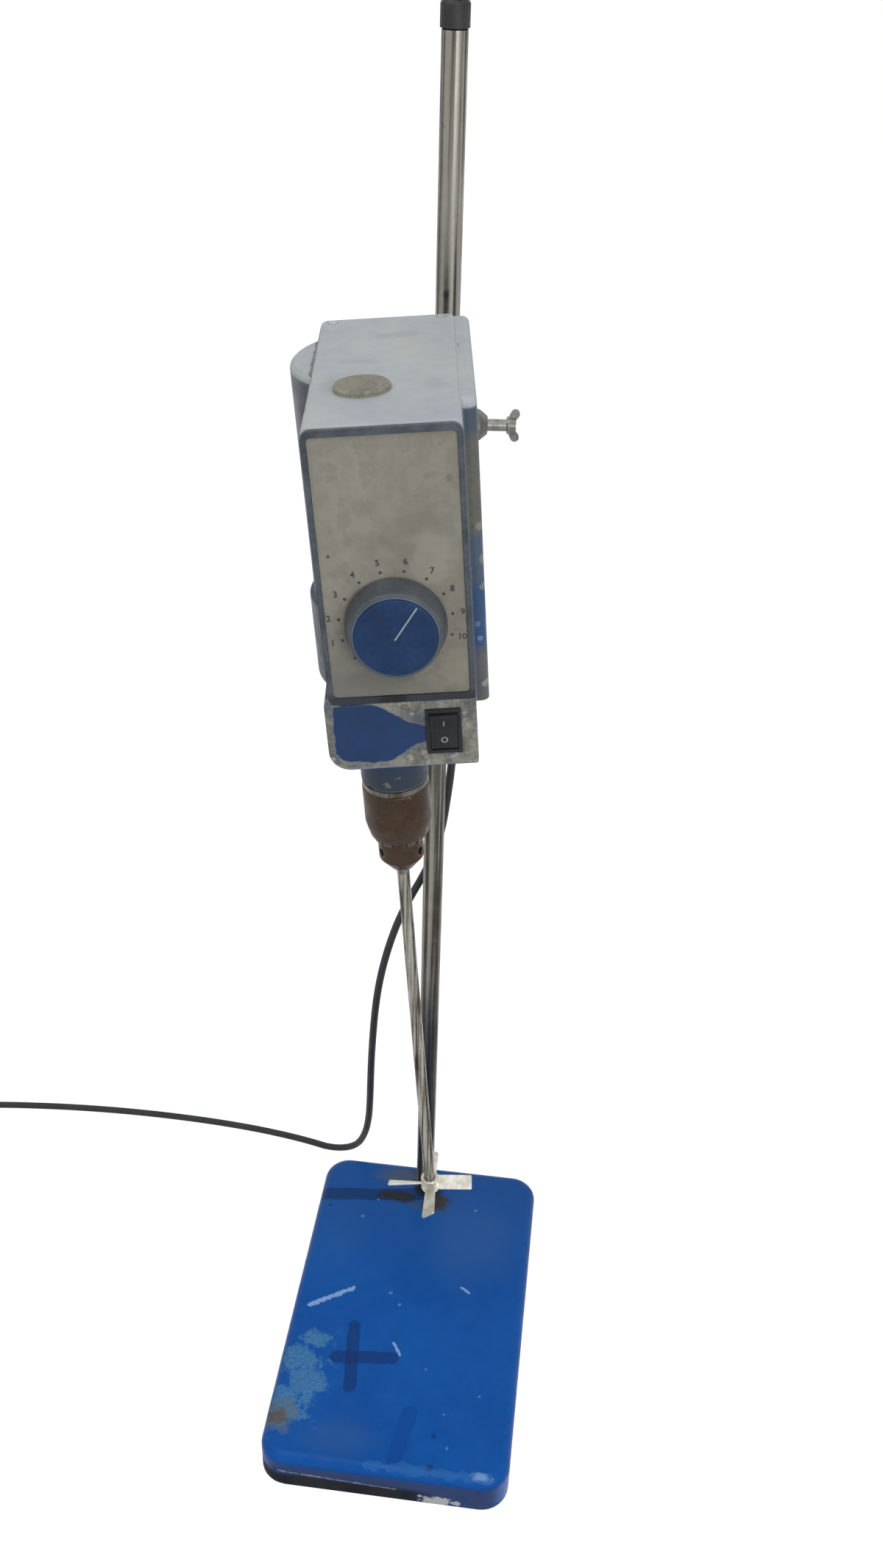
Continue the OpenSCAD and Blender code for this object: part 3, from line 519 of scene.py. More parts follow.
def blade(bm, turn):
    before = set(bm.verts)
    bmesh.ops.create_grid(bm, x_segments=8, y_segments=4, size=0.5)
    fresh = [v for v in bm.verts if v not in before]
    length = blade_tip - blade_root
    size = Matrix.Diagonal((length * mm, blade_width * mm, 1, 1))
    bmesh.ops.transform(bm, matrix=size, verts=fresh)
    tips = [v for v in fresh if len(v.link_edges) == 2 and v.co.x > 0]
    bmesh.ops.bevel(
        bm, geom=tips, offset=1.2 * mm, segments=3, profile=0.5, affect="VERTICES", material=-1
    )
    fresh = [v for v in bm.verts if v not in before]
    for v in fresh:
        along = v.co.x / (length * mm) + 0.5
        pitch = radians(47 - 14 * along)
        bmesh.ops.rotate(bm, verts=[v], cent=(v.co.x, 0, 0), matrix=Matrix.Rotation(pitch, 3, "X"))
    faces = list({f for v in fresh for f in v.link_faces})
    bmesh.ops.solidify(bm, geom=faces, thickness=blade_sheet * mm)
    fresh = [v for v in bm.verts if v not in before]
    bmesh.ops.translate(bm, verts=fresh, vec=((blade_root + length / 2) * mm, 0, 0))
    bmesh.ops.rotate(bm, verts=fresh, cent=(0, 0, 0), matrix=Matrix.Rotation(turn, 3, "Z"))


bm = bmesh.new()
for i in range(4):
    blade(bm, i * pi / 2)
lathe(bm, [(4.02, -5.9), (6, -5.9), (6.5, -5.4), (6.5, 5.4), (6, 5.9), (4.02, 5.9), (4.02, -5.9)], 48)
hub_height = shaft_foot - 1 + 6
propeller_place = spindle_place @ Matrix.Translation(
    (0, 0, hub_height * mm)
) @ Matrix.Rotation(radians(-4), 4, "Z")
propeller = finish_piece(
    from_bmesh("propeller_blades", bm, propeller_place),
    "stirrer",
    ["propeller"],
    edge=0.25 * mm,
)
print("propeller faces", len(propeller.data.polygons))

# %% [markdown]
# A moulded strain relief keeps the lead from kinking where it leaves the
# housing. Its ribs are a profile worked out by a loop, then turned.

# %% Strain relief and plug neck
gland_place = (
    head_place
    @ Matrix.Translation((gland_across * mm, head_depth, -gland_drop * mm))
    @ Matrix.Rotation(-pi / 2, 4, "X")
)


def ribbed(start, end, from_radius, to_radius, ribs, groove=0.7):
    """Profile points of a cone with ring grooves cut in it."""
    pitch = (end - start) / ribs
    points = []
    for i in range(ribs):
        low = start + i * pitch
        for share, depth in ((0, 0), (0.5, 0), (0.6, groove), (0.9, groove)):
            height = low + share * pitch
            radius = from_radius + (to_radius - from_radius) * (height - start) / (end - start)
            points.append((radius - depth, height))
    return points + [(to_radius, end)]


gland_profile = [(0, -8), (5, -8), (5, -3), (3.3, -3), (3.3, 0), (7.6, 0), (8, 0.5), (8, 2.4), (7.4, 3)]
gland_profile += ribbed(3, 31, 6, 4.05, 6) + [(0, 31)]
strain_relief = turned("strain_relief", gland_profile, gland_place, "head", ["cord_gland"])

# %% [markdown]
# Materials come next. Each is a Principled BSDF fed by a few small node
# groups, so that the same wear, blots, scratches and streaks can be used with
# other values on paint, plastic and steel. A tiny helper keeps the wiring short.


# %% Wiring helpers
def linear(red, green, blue):
    """A colour as seen on a screen, 0 to 255, in Blender's linear values."""
    def channel(value):
        value /= 255
        return value / 12.92 if value <= 0.04045 else ((value + 0.055) / 1.055) ** 2.4

    return (channel(red), channel(green), channel(blue), 1)


def add(tree, kind, settings=(), **sockets):
    """Adds a shader node, sets its properties and fills its sockets by name."""
    node = tree.nodes.new("ShaderNode" + kind)
    for name, value in dict(settings).items():
        setattr(node, name, value)
    for name, value in sockets.items():
        fill(tree, node.inputs[name.replace("_", " ")], value)
    return node


def fill(tree, socket, value):
    if isinstance(value, bpy.types.NodeSocket):
        tree.links.new(value, socket)
    else:
        socket.default_value = value


def maths(tree, operation, first, second=0.0, clamp=False):
    node = add(tree, "Math", {"operation": operation, "use_clamp": clamp})
    fill(tree, node.inputs[0], first)
    fill(tree, node.inputs[1], second)
    return node.outputs[0]


def times(tree, first, second):
    return maths(tree, "MULTIPLY", first, second)


def plus(tree, first, second):
    return maths(tree, "ADD", first, second)


def less(tree, first, second):
    return maths(tree, "SUBTRACT", first, second)


def vector_maths(tree, operation, first, second=(0, 0, 0)):
    node = add(tree, "VectorMath", {"operation": operation})
    fill(tree, node.inputs[0], first)
    fill(tree, node.inputs[1], second)
    return node.outputs["Value" if operation in ("LENGTH", "DOT_PRODUCT") else "Vector"]


def mixed(tree, share, first, second):
    """A colour between two others."""
    node = add(tree, "Mix", {"data_type": "RGBA"})
    fill(tree, node.inputs[0], share)
    fill(tree, node.inputs[6], first)
    fill(tree, node.inputs[7], second)
    return node.outputs[2]


def over(tree, colour, mask, share, tint):
    """The colour, with a share of a screen colour laid over it where the mask is 1."""
    return mixed(tree, times(tree, mask, share), colour, linear(*tint))


def ramped(tree, value, low, high, to_low=0.0, to_high=1.0):
    """The value, taken from one range to another, and held at its ends."""
    node = add(tree, "MapRange", {"interpolation_type": "SMOOTHSTEP"})
    for name, number in (
        ("Value", value), ("From Min", low), ("From Max", high), ("To Min", to_low), ("To Max", to_high)
    ):
        fill(tree, node.inputs[name], number)
    return node.outputs["Result"]


def banded(tree, value, stops):
    """Colours along a value, each stop a place in mm and a screen colour."""
    low, high = stops[0][0], stops[-1][0]
    share = add(tree, "MapRange", Value=value)
    share.inputs["From Min"].default_value = low * mm
    share.inputs["From Max"].default_value = high * mm
    node = add(tree, "ValToRGB", Fac=share.outputs["Result"])
    ramp = node.color_ramp
    ramp.elements[0].color = linear(*stops[0][1])
    ramp.elements[1].color = linear(*stops[-1][1])
    for place, colour in stops[1:-1]:
        ramp.elements.new((place - low) / (high - low)).color = linear(*colour)
    return node.outputs["Color"]


def noise(tree, vector, scale, detail=4.0, roughness=0.55):
    node = add(tree, "TexNoise", Vector=vector, Scale=scale, Detail=detail, Roughness=roughness)
    return node.outputs[0]


def group(name, inputs, output="Mask"):
    """An empty node group with named inputs and one output."""
    tree = bpy.data.node_groups.new(name, "ShaderNodeTree")
    for label, value in inputs:
        kind = "NodeSocketVector" if label in vector_inputs else "NodeSocketFloat"
        socket = tree.interface.new_socket(name=label, in_out="INPUT", socket_type=kind)
        if value is not None:
            socket.default_value = value
    tree.interface.new_socket(name=output, in_out="OUTPUT", socket_type="NodeSocketFloat")
    return tree, tree.nodes.new("NodeGroupInput").outputs, tree.nodes.new("NodeGroupOutput").inputs[0]


vector_inputs = ("Vector", "Centre", "Size", "From", "To")

# %% [markdown]
# Worn paint shows bare metal first at edges and then in ragged islands. The
# Bevel node gives a normal that bends near edges, and where it leaves the true
# normal, the noise has less far to go before the paint is gone.


# %% Group: wear
def make_wear():
    tree, given, result = group(
        "wear", [("Vector", None), ("Scale", 60.0), ("Amount", 0.3), ("Edges", 1.0)]
    )
    bent = add(tree, "Bevel", {"samples": 6}, Radius=1.6 * mm).outputs[0]
    straight = add(tree, "NewGeometry").outputs["Normal"]
    edge = less(tree, 1.0, vector_maths(tree, "DOT_PRODUCT", bent, straight))
    edge = times(tree, times(tree, edge, given["Edges"]), 1.6)
    islands = noise(tree, given["Vector"], given["Scale"], 8.0, 0.68)
    start = less(tree, 0.78, times(tree, given["Amount"], 0.5))
    reach = plus(tree, islands, edge)
    tree.links.new(ramped(tree, reach, start, plus(tree, start, 0.035)), result)
    return tree


wear = make_wear()

# %% [markdown]
# Stains, patches and worn places each sit somewhere, so a blot is an ellipsoid
# whose border a noise makes ragged.


# %% Groups: blot, stroke, grime and streaks
def make_blot():
    tree, given, result = group(
        "blot",
        [
            ("Vector", None),
            ("Centre", None),
            ("Size", None),
            ("Ragged", 0.6),
            ("Scale", 90.0),
            ("Soft", 0.2),
        ],
    )
    away = vector_maths(tree, "SUBTRACT", given["Vector"], given["Centre"])
    away = vector_maths(tree, "LENGTH", vector_maths(tree, "DIVIDE", away, given["Size"]))
    border = less(tree, noise(tree, given["Vector"], given["Scale"], 6.0, 0.6), 0.5)
    away = plus(tree, away, times(tree, border, given["Ragged"]))
    tree.links.new(ramped(tree, away, 1.0, less(tree, 1.0, given["Soft"])), result)
    return tree


def make_stroke():
    """A mark along a straight line, such as a scratch or a strip of old tape."""
    tree, given, result = group(
        "stroke",
        [
            ("Vector", None),
            ("From", None),
            ("To", None),
            ("Width", 0.001),
            ("Ragged", 0.3),
            ("Scale", 400.0),
        ],
    )
    along = vector_maths(tree, "SUBTRACT", given["To"], given["From"])
    away = vector_maths(tree, "SUBTRACT", given["Vector"], given["From"])
    share = maths(
        tree,
        "DIVIDE",
        vector_maths(tree, "DOT_PRODUCT", away, along),
        vector_maths(tree, "DOT_PRODUCT", along, along),
        True,
    )
    nearest = add(tree, "VectorMath", {"operation": "SCALE"})
    tree.links.new(along, nearest.inputs[0])
    tree.links.new(share, nearest.inputs["Scale"])
    away = vector_maths(tree, "LENGTH", vector_maths(tree, "SUBTRACT", away, nearest.outputs[0]))
    away = maths(tree, "DIVIDE", away, given["Width"])
    border = less(tree, noise(tree, given["Vector"], given["Scale"], 5.0, 0.6), 0.5)
    away = plus(tree, away, times(tree, border, given["Ragged"]))
    tree.links.new(ramped(tree, away, 0.5, 0.38), result)
    return tree


def make_grime():
    tree, given, result = group("grime", [("Vector", None), ("Scale", 30.0), ("Contrast", 0.2)], "Value")
    broad = noise(tree, given["Vector"], given["Scale"], 5.0, 0.6)
    fine = noise(tree, given["Vector"], times(tree, given["Scale"], 7.0), 3.0, 0.6)
    both = plus(tree, times(tree, broad, 0.7), times(tree, fine, 0.3))
    low = less(tree, 0.5, given["Contrast"])
    high = plus(tree, 0.5, given["Contrast"])
    tree.links.new(ramped(tree, both, low, high), result)
    return tree


def make_streaks():
    """Fine lines along z, as drawn bar and chrome have."""
    tree, given, result = group("streaks", [("Vector", None), ("Scale", 500.0)], "Value")
    drawn = vector_maths(tree, "MULTIPLY", given["Vector"], (1, 1, 0.012))
    tree.links.new(ramped(tree, noise(tree, drawn, given["Scale"], 3.0, 0.6), 0.4, 0.6), result)
    return tree


blot, stroke, grime, streaks = make_blot(), make_stroke(), make_grime(), make_streaks()


def use(tree, part, **values):
    """Places a group in a material and gives its output."""
    node = tree.nodes.new("ShaderNodeGroup")
    node.node_tree = part
    for name, value in values.items():
        fill(tree, node.inputs[name], value)
    return node.outputs[0]


print("groups", [part.name for part in (wear, blot, stroke, grime, streaks)])

# %% [markdown]
# A material starts as a Principled BSDF whose plain numbers are set straight
# on its sockets. Patterns read Object coordinates. On the head a Mapping node
# turns them into the head's own frame, so that a stain can be placed by
# measuring from the lid and the panel.


# %% Starting a material
def start_material(name, roughness=0.5, metallic=0.0, specular=0.5):
    made = bpy.data.materials.new(name)
    made.use_nodes = True
    tree = made.node_tree
    shader = tree.nodes["Principled BSDF"]
    shader.inputs["Roughness"].default_value = roughness
    shader.inputs["Metallic"].default_value = metallic
    shader.inputs["Specular IOR Level"].default_value = specular
    return made, tree, shader


def coordinates(tree, on_head=False):
    spots = add(tree, "TexCoord").outputs["Object"]
    if not on_head:
        return spots
    turned_back = add(tree, "Mapping", {"vector_type": "TEXTURE"}, Vector=spots)
    turned_back.inputs["Location"].default_value = head_place.translation
    turned_back.inputs["Rotation"].default_value = head_place.to_euler()
    return turned_back.outputs[0]


def bump(tree, shader, height, distance, strength=1.0):
    node = add(tree, "Bump", Height=height, Distance=distance, Strength=strength)
    tree.links.new(node.outputs[0], shader.inputs["Normal"])


def along_axis(tree, vector, axis):
    return add(tree, "SeparateXYZ", Vector=vector).outputs[axis]


def at(*numbers):
    """A place or a size given in mm."""
    return [number * mm for number in numbers]


# %% [markdown]
# The stand's plate has thick glossy enamel. Years of vessels have left a pale
# worn corner at the front left, a few scratches, a rusty ring near the rod and
# chips along its bottom edge. Light and shade are painted on it as well: the
# propeller's cross-shaped shadow, a shadow streak, a dark band near the back,
# shade round the rod's foot, on the front face and under it, and a sheen and a
# glint on the front edge.

# %% Plate paint
plate_scratches = [
    ((-85.5, -14, 0), (-50.7, 8.6, 0), 4.6),
    ((43.5, 22.2, 0), (50.6, 17.6, 0), 2.4),
    ((-7.5, -41.4, 0), (-0.3, -52.5, 0), 2.6),
]
plate_dots = [
    (-56, 88, 2.4), (-45, 109, 1.6), (47, 109, 2.0), (23, -63, 1.6),
    (43, -102, 1.4), (70, -82, 1.6), (49, -131, 1.6), (-17.6, 7.8, 2.2), (-8, -3, 2.0),
]
worn_places = [(-73, -47, 19, 13), (-84, -66, 27, 18), (-72, -88, 26, 24), (-88, -110, 30, 27)]
foot_rust_and_shade = [
    (-20, 140, 38, 13, 0.75, (78, 86, 92)),
    (2, 108, 26, 9, 0.5, (60, 78, 98)),
    (-26, 116, 24, 10, 0.9, (34, 33, 35)),
    (10, 114, 15, 14, 0.9, (58, 44, 34)),
    (0, 128, 18, 14, 0.9, (30, 28, 28)),
]
# The propeller's shadow, painted as a cross of two dark strokes
propeller_shadow_cross = [((-53, -61.5, 0), (-7, -56.2, 0), 13.5), ((-43, -30, 0), (-37.2, -87, 0), 12.5)]


def plate_paint():
    made, tree, shader = start_material("plate paint", 0.34, specular=0.14)
    spots = coordinates(tree)
    across, back, up = (along_axis(tree, spots, axis) for axis in range(3))
    colour = mixed(
        tree,
        use(tree, grime, Vector=spots, Scale=9.0, Contrast=0.2),
        linear(0, 76, 156),
        linear(12, 88, 168),
    )
    faded = ramped(tree, back, -0.01, 0.15)
    colour = over(tree, colour, faded, 0.6, (30, 78, 138))
    for x, y, width, depth, share in (
        (42, 72, 60, 62, 0.6), (-42, -134, 46, 22, 0.6), (-70, 60, 34, 60, 0.2)
    ):
        haze = use(
            tree,
            blot,
            Vector=spots,
            Centre=at(x, y, 0),
            Size=at(width, depth, 50),
            Ragged=1.4,
            Scale=18.0,
            Soft=0.9,
        )
        colour = over(tree, colour, haze, share, (44, 90, 154))

    # The worn corner: pale blue with darker holes, then khaki with rust
    rubbed = 0.0
    for x, y, width, depth in worn_places:
        place = use(
            tree,
            blot,
            Vector=spots,
            Centre=at(x, y, 0),
            Size=at(width, depth, 60),
            Ragged=0.5,
            Scale=45.0,
            Soft=0.95,
        )
        rubbed = maths(tree, "MAXIMUM", rubbed, place)
    patchy = less(tree, noise(tree, spots, 95.0, 8.0, 0.75), 0.5)
    rubbed = ramped(tree, plus(tree, rubbed, times(tree, patchy, 3.6)), 0.16, 0.55)
    fine = ramped(tree, noise(tree, spots, 420.0, 5.0, 0.7), 0.35, 0.65, 0.4, 1.0)
    share = times(tree, rubbed, times(tree, fine, 0.85))
    share = times(tree, share, ramped(tree, across, -0.045, -0.062))
    share = times(tree, share, ramped(tree, maths(tree, "ABSOLUTE", plus(tree, back, 0.083)), 0.056, 0.038))
    colour = mixed(tree, share, colour, linear(84, 136, 172))
    corner = use(
        tree,
        blot,
        Vector=spots,
        Centre=at(-90, -120, 0),
        Size=at(20, 19, 40),
        Ragged=1.8,
        Scale=90.0,
        Soft=0.4,
    )
    colour = mixed(tree, times(tree, times(tree, corner, fine), 0.75), colour, linear(96, 112, 112))
    rust = use(
        tree,
        blot,
        Vector=spots,
        Centre=at(-92, -122, 0),
        Size=at(10, 8, 40),
        Ragged=2.6,
        Scale=190.0,
        Soft=0.4,
    )
    colour = over(tree, colour, rust, 0.75, (96, 78, 58))

    # Painted shadow of the propeller: a cross of two dark strokes
    for start, end, width in propeller_shadow_cross:
        mark = use(
            tree,
            stroke,
            Vector=spots,
            From=at(*start),
            To=at(*end),
            Width=width * mm,
            Ragged=0.25,
            Scale=70.0,
        )
        colour = over(tree, colour, mark, 0.72, (6, 48, 108))
    shade = use(
        tree,
        stroke,
        Vector=spots,
        From=at(-96, 109, 0),
        To=at(-4, 121, 0),
        Width=16 * mm,
        Ragged=0.3,
        Scale=60.0,
    )
    colour = over(tree, colour, shade, 0.72, (8, 42, 88))
    # Painted shadow: a darker streak running towards the front edge
    painted_shadow_streak = use(
        tree,
        stroke,
        Vector=spots,
        From=at(15, -104, 0),
        To=at(9, -146, 0),
        Width=14 * mm,
        Ragged=0.4,
        Scale=60.0,
    )
    colour = over(tree, colour, painted_shadow_streak, 0.6, (0, 66, 148))

    # Old rust and grease round the foot of the rod, with painted shade mixed into the dark blots
    for x, y, width, depth, share, tint in foot_rust_and_shade:
        stain = use(
            tree,
            blot,
            Vector=spots,
            Centre=at(x, y, 0),
            Size=at(width, depth, 30),
            Ragged=1.1,
            Scale=80.0,
            Soft=0.55,
        )
        colour = over(tree, colour, stain, share, tint)

    for start, end, width in plate_scratches:
        mark = use(
            tree,
            stroke,
            Vector=spots,
            From=at(*start),
            To=at(*end),
            Width=width * mm,
            Ragged=1.2,
            Scale=260.0,
        )
        colour = over(tree, colour, mark, 0.85, (140, 172, 222))
    for x, y, width in plate_dots:
        dot = use(
            tree,
            blot,
            Vector=spots,
            Centre=at(x, y, 0),
            Size=at(width, width, 3),
            Ragged=1.1,
            Scale=300.0,
            Soft=0.6,
        )
        colour = over(tree, colour, dot, 0.6, (104, 148, 200))
    for x, y, width in ((37, -122, 2.6), (37, -150, 4.6), (-88, 96, 2.0)):
        dot = use(
            tree,
            blot,
            Vector=spots,
            Centre=at(x, y, 0),
            Size=at(width, width, 9),
            Ragged=1.0,
            Scale=200.0,
            Soft=0.6,
        )
        colour = over(tree, colour, dot, 0.7, (4, 44, 100))
    dust = ramped(tree, noise(tree, spots, 800.0, 2.0, 0.5), 0.72, 0.77)
    colour = over(tree, colour, dust, 0.35, (120, 155, 195))

    # The front edge is rubbed pale and carries a painted sheen and a painted glint; its face gets painted shade,
    # black painted shadow low on its left half, and chips
    rub = use(
        tree,
        stroke,
        Vector=spots,
        From=at(-10, -152, -1),
        To=at(84, -152, -1),
        Width=8 * mm,
        Ragged=2.2,
        Scale=90.0,
    )
    colour = over(tree, colour, rub, 0.28, (60, 122, 180))
    # Painted highlight at the front right corner of the edge
    glint = use(
        tree,
        blot,
        Vector=spots,
        Centre=at(78, -151, -1),
        Size=at(11, 4, 4),
        Ragged=1.6,
        Scale=160.0,
        Soft=0.7,
    )
    colour = over(tree, colour, glint, 0.6, (136, 176, 220))
    # Painted shade on the front face, darker below its top edge, with some dirt
    front = ramped(tree, back, -0.150, -0.156)
    face = times(tree, ramped(tree, up, -0.004, -0.011), front)
    colour = over(tree, colour, face, 0.8, (0, 32, 82))
    # Painted shadow under the plate: near-black low on the left half of the front
    low = ramped(tree, plus(tree, up, times(tree, noise(tree, spots, 40.0), 0.006)), -0.013, -0.02)
    painted_under_shadow = times(tree, low, ramped(tree, across, 0.05, 0.02))
    colour = over(tree, colour, painted_under_shadow, 0.96, (6, 7, 9))
    chips = use(
        tree,
        blot,
        Vector=spots,
        Centre=at(46, -158, -29),
        Size=at(17, 5, 6),
        Ragged=2.6,
        Scale=170.0,
        Soft=0.3,
    )
    line = use(
        tree,
        stroke,
        Vector=spots,
        From=at(-90, -158, -16),
        To=at(12, -158, -21),
        Width=1.6 * mm,
        Ragged=2.6,
        Scale=160.0,
    )
    colour = mixed(
        tree, maths(tree, "MAXIMUM", chips, times(tree, line, 0.4)), colour, linear(178, 182, 180)
    )
    tree.links.new(colour, shader.inputs["Base Color"])
    rough = ramped(tree, noise(tree, spots, 40.0, 5.0, 0.6), 0.35, 0.7, 0.28, 0.42)
    rough = plus(tree, rough, times(tree, maths(tree, "MAXIMUM", rubbed, painted_under_shadow), 0.3))
    tree.links.new(rough, shader.inputs["Roughness"])
    bump(tree, shader, noise(tree, spots, 160.0, 2.0, 0.5), 0.25 * mm, 0.3)
    return made


# %% [markdown]
# The head's casting was painted blue, and hands and bottles have worn it to
# grey metal. The front block has kept one island of blue, which narrows
# towards the switch. The shoulder is bare in its middle and bright blue below.


# %% Head paint
worn_low, kept_blue, thin_blue = (98, 101, 101), (52, 82, 123), (77, 93, 113)
bare_metal, dull_blue = (107, 105, 96), (74, 86, 101)
# Each state of the paint, from the bottom up: its limits in mm and its colour
shoulder_zones = [
    (-179, -150, worn_low),
    (-141, -112, kept_blue),
    (-104, -80, thin_blue),
    (-73, -28, bare_metal),
    (-20, 0, dull_blue),
]
shoulder_stops = [(place, tint) for low, high, tint in shoulder_zones for place in (low, high)]


def head_paint():
    made, tree, shader = start_material("head paint", 0.45, specular=0.28)
    spots = coordinates(tree, on_head=True)
    across, back, up = (along_axis(tree, spots, axis) for axis in range(3))
    blue = mixed(
        tree,
        use(tree, grime, Vector=spots, Scale=30.0, Contrast=0.2),
        linear(22, 48, 82),
        linear(26, 56, 102),
    )
    dull = mixed(
        tree,
        use(tree, grime, Vector=spots, Scale=22.0, Contrast=0.25),
        linear(60, 68, 80),
        linear(80, 88, 96),
    )
    metal = mixed(
        tree,
        use(tree, grime, Vector=spots, Scale=60.0, Contrast=0.14),
        linear(88, 88, 84),
        linear(148, 146, 135),
    )
    bluish = ramped(
        tree, noise(tree, vector_maths(tree, "ADD", spots, (0.3, 0, 0)), 75.0, 6.0, 0.65), 0.5, 0.62
    )
    metal = over(tree, metal, bluish, 0.75, (80, 91, 106))
    pale = ramped(
        tree, noise(tree, vector_maths(tree, "ADD", spots, (0, 0.3, 0)), 140.0, 6.0, 0.65), 0.56, 0.64
    )
    metal = over(tree, metal, pale, 0.7, (166, 166, 156))
    ragged = times(tree, less(tree, noise(tree, spots, 90.0, 6.0, 0.55), 0.5), 7 * mm)

    # The island of blue on the front block: its half height shrinks to the right
    half = ramped(tree, across, -21 * mm, 14 * mm, 21 * mm, 4.8 * mm)
    inside = less(tree, half, maths(tree, "ABSOLUTE", plus(tree, up, 175 * mm)))
    left = maths(tree, "MAXIMUM", less(tree, -30 * mm, across), 0.0)
    under = maths(tree, "MAXIMUM", less(tree, -183 * mm, up), 0.0)
    corner = maths(tree, "SQRT", plus(tree, times(tree, left, left), times(tree, under, under)))
    inside = maths(tree, "MINIMUM", inside, less(tree, 8.6 * mm, corner))
    inside = maths(tree, "MINIMUM", inside, less(tree, 14 * mm, across))
    inside = plus(tree, inside, ragged)
    island = ramped(tree, inside, 0.0, 0.7 * mm)
    border = times(tree, ramped(tree, inside, -1.6 * mm, 0.0), less(tree, 1.0, island))
    block = over(tree, metal, border, 0.45, (98, 112, 132))
    block = mixed(tree, island, block, blue)
    # The block's bottom edge: worn metal, with a painted highlight along its rounded edge
    rim = less(tree, plus(tree, up, times(tree, ragged, 0.3)), -194.5 * mm)
    block = mixed(
        tree, times(tree, ramped(tree, rim, 0.6 * mm, -0.6 * mm), 0.6), block, linear(122, 134, 150)
    )
    in_block = times(tree, ramped(tree, up, -153 * mm, -154.5 * mm), ramped(tree, back, 10 * mm, 4 * mm))

    shifted = plus(tree, up, times(tree, ragged, 1.6))
    shoulder = banded(tree, shifted, shoulder_stops)
    mottle = use(tree, grime, Vector=spots, Scale=90.0, Contrast=0.12)
    shoulder = over(tree, shoulder, mottle, 0.35, (66, 76, 88))
    for x, z, size, tint in (
        (47.6, -72, 3.5, (142, 140, 128)),
        (44, -139, 2.0, (108, 146, 188)),
        (43, -130, 1.8, (100, 128, 160)),
        (46, -168, 2.6, (150, 152, 146)),
        (48, -92, 3.0, (128, 128, 120)),
        (48, -108, 3.0, (132, 132, 126)),
    ):
        chip = use(
            tree,
            blot,
            Vector=spots,
            Centre=at(x, 39, z),
            Size=at(size, 8, size),
            Ragged=1.8,
            Scale=200.0,
            Soft=0.4,
        )
        shoulder = over(tree, shoulder, chip, 0.8, tint)
    on_side = ramped(tree, across, 39.6 * mm, 40.4 * mm)
    in_front = ramped(tree, plus(tree, back, times(tree, ragged, 2.5)), 52 * mm, 43 * mm)
    on_shoulder = times(tree, on_side, in_front)

    # Elsewhere the sides are dull blue, with brighter paint where no hand reaches
    bright = ramped(tree, noise(tree, spots, 14.0, 6.0, 0.6), 0.47, 0.62)
    colour = over(tree, dull, bright, 0.7, (46, 66, 94))
    colour = mixed(tree, on_shoulder, colour, shoulder)
    neck = mixed(tree, ramped(tree, up, -236 * mm, -206 * mm), linear(44, 54, 68), linear(30, 56, 92))
    colour = mixed(tree, ramped(tree, up, -195 * mm, -197 * mm), colour, neck)
    chipped = use(tree, wear, Vector=spots, Scale=75.0, Amount=0.3, Edges=2.0)
    colour = mixed(tree, times(tree, chipped, 0.8), colour, metal)
    colour = mixed(tree, in_block, colour, block)
    rims = use(tree, wear, Vector=spots, Scale=120.0, Amount=0.18, Edges=3.6)
    colour = over(tree, colour, rims, 0.55, (132, 138, 144))
    soot = use(tree, wear, Vector=spots, Scale=240.0, Amount=0.3, Edges=0.0)
    colour = over(tree, colour, soot, 0.6, (48, 48, 48))
    tree.links.new(colour, shader.inputs["Base Color"])
    rough = ramped(tree, noise(tree, spots, 60.0, 5.0, 0.6), 0.3, 0.7, 0.34, 0.55)
    tree.links.new(rough, shader.inputs["Roughness"])
    pits = plus(tree, noise(tree, spots, 300.0, 3.0, 0.6), times(tree, island, 0.5))
    bump(tree, shader, pits, 0.3 * mm, 0.5)
    return made


# %% [markdown]
# Lid, bezel and panel are flat, so what shows on them is mostly dirt: pale
# plastic with grey handling marks, a bezel darker towards its bottom, and a
# beige plate with stains, one dark spot and painted shade at its lower left.


# %% Lid, bezel and panel
lid_seams = [
    ((-40, 30, -2), (-40, 176, -2), 3.2, 0.8),
    ((38.6, 146, 0), (38.6, 150, 0), 1.8, 0.7),
    ((38.8, 137, 0), (38.8, 139, 0), 1.8, 0.7),
    ((40.4, 126, -1), (40.4, 132, -1), 1.8, 0.7),
]


def lid_plastic():
    made, tree, shader = start_material("lid plastic", 0.55, specular=0.25)
    spots = coordinates(tree, on_head=True)
    colour = mixed(
        tree,
        use(tree, grime, Vector=spots, Scale=14.0, Contrast=0.25),
        linear(160, 167, 173),
        linear(184, 188, 188),
    )
    warm = ramped(tree, noise(tree, spots, 12.0, 3.0, 0.5), 0.4, 0.7)
    colour = over(tree, colour, warm, 0.5, (182, 182, 172))
    for centre, size in (
        ((-14, 104, 0), (15, 7, 9)),
        ((8, 150, 0), (20, 8, 9)),
        ((26, 60, 0), (9, 18, 9)),
        ((-28, 64, 0), (8, 20, 9)),
    ):
        spot = use(
            tree, blot, Vector=spots, Centre=at(*centre), Size=at(*size), Ragged=1.2, Scale=60.0, Soft=0.7
        )
        colour = over(tree, colour, spot, 0.3, (140, 143, 141))
    rubbed = use(tree, wear, Vector=spots, Scale=110.0, Amount=0.28, Edges=1.6)
    colour = over(tree, colour, rubbed, 0.45, (120, 120, 114))
    for start, end, width, strength in lid_seams:
        seam = use(
            tree,
            stroke,
            Vector=spots,
            From=at(*start),
            To=at(*end),
            Width=width * mm,
            Ragged=1.0,
            Scale=180.0,
        )
        colour = over(tree, colour, seam, strength, (104, 98, 88))
    tree.links.new(colour, shader.inputs["Base Color"])
    bump(tree, shader, noise(tree, spots, 500.0, 3.0, 0.6), 0.12 * mm, 0.35)
    return made


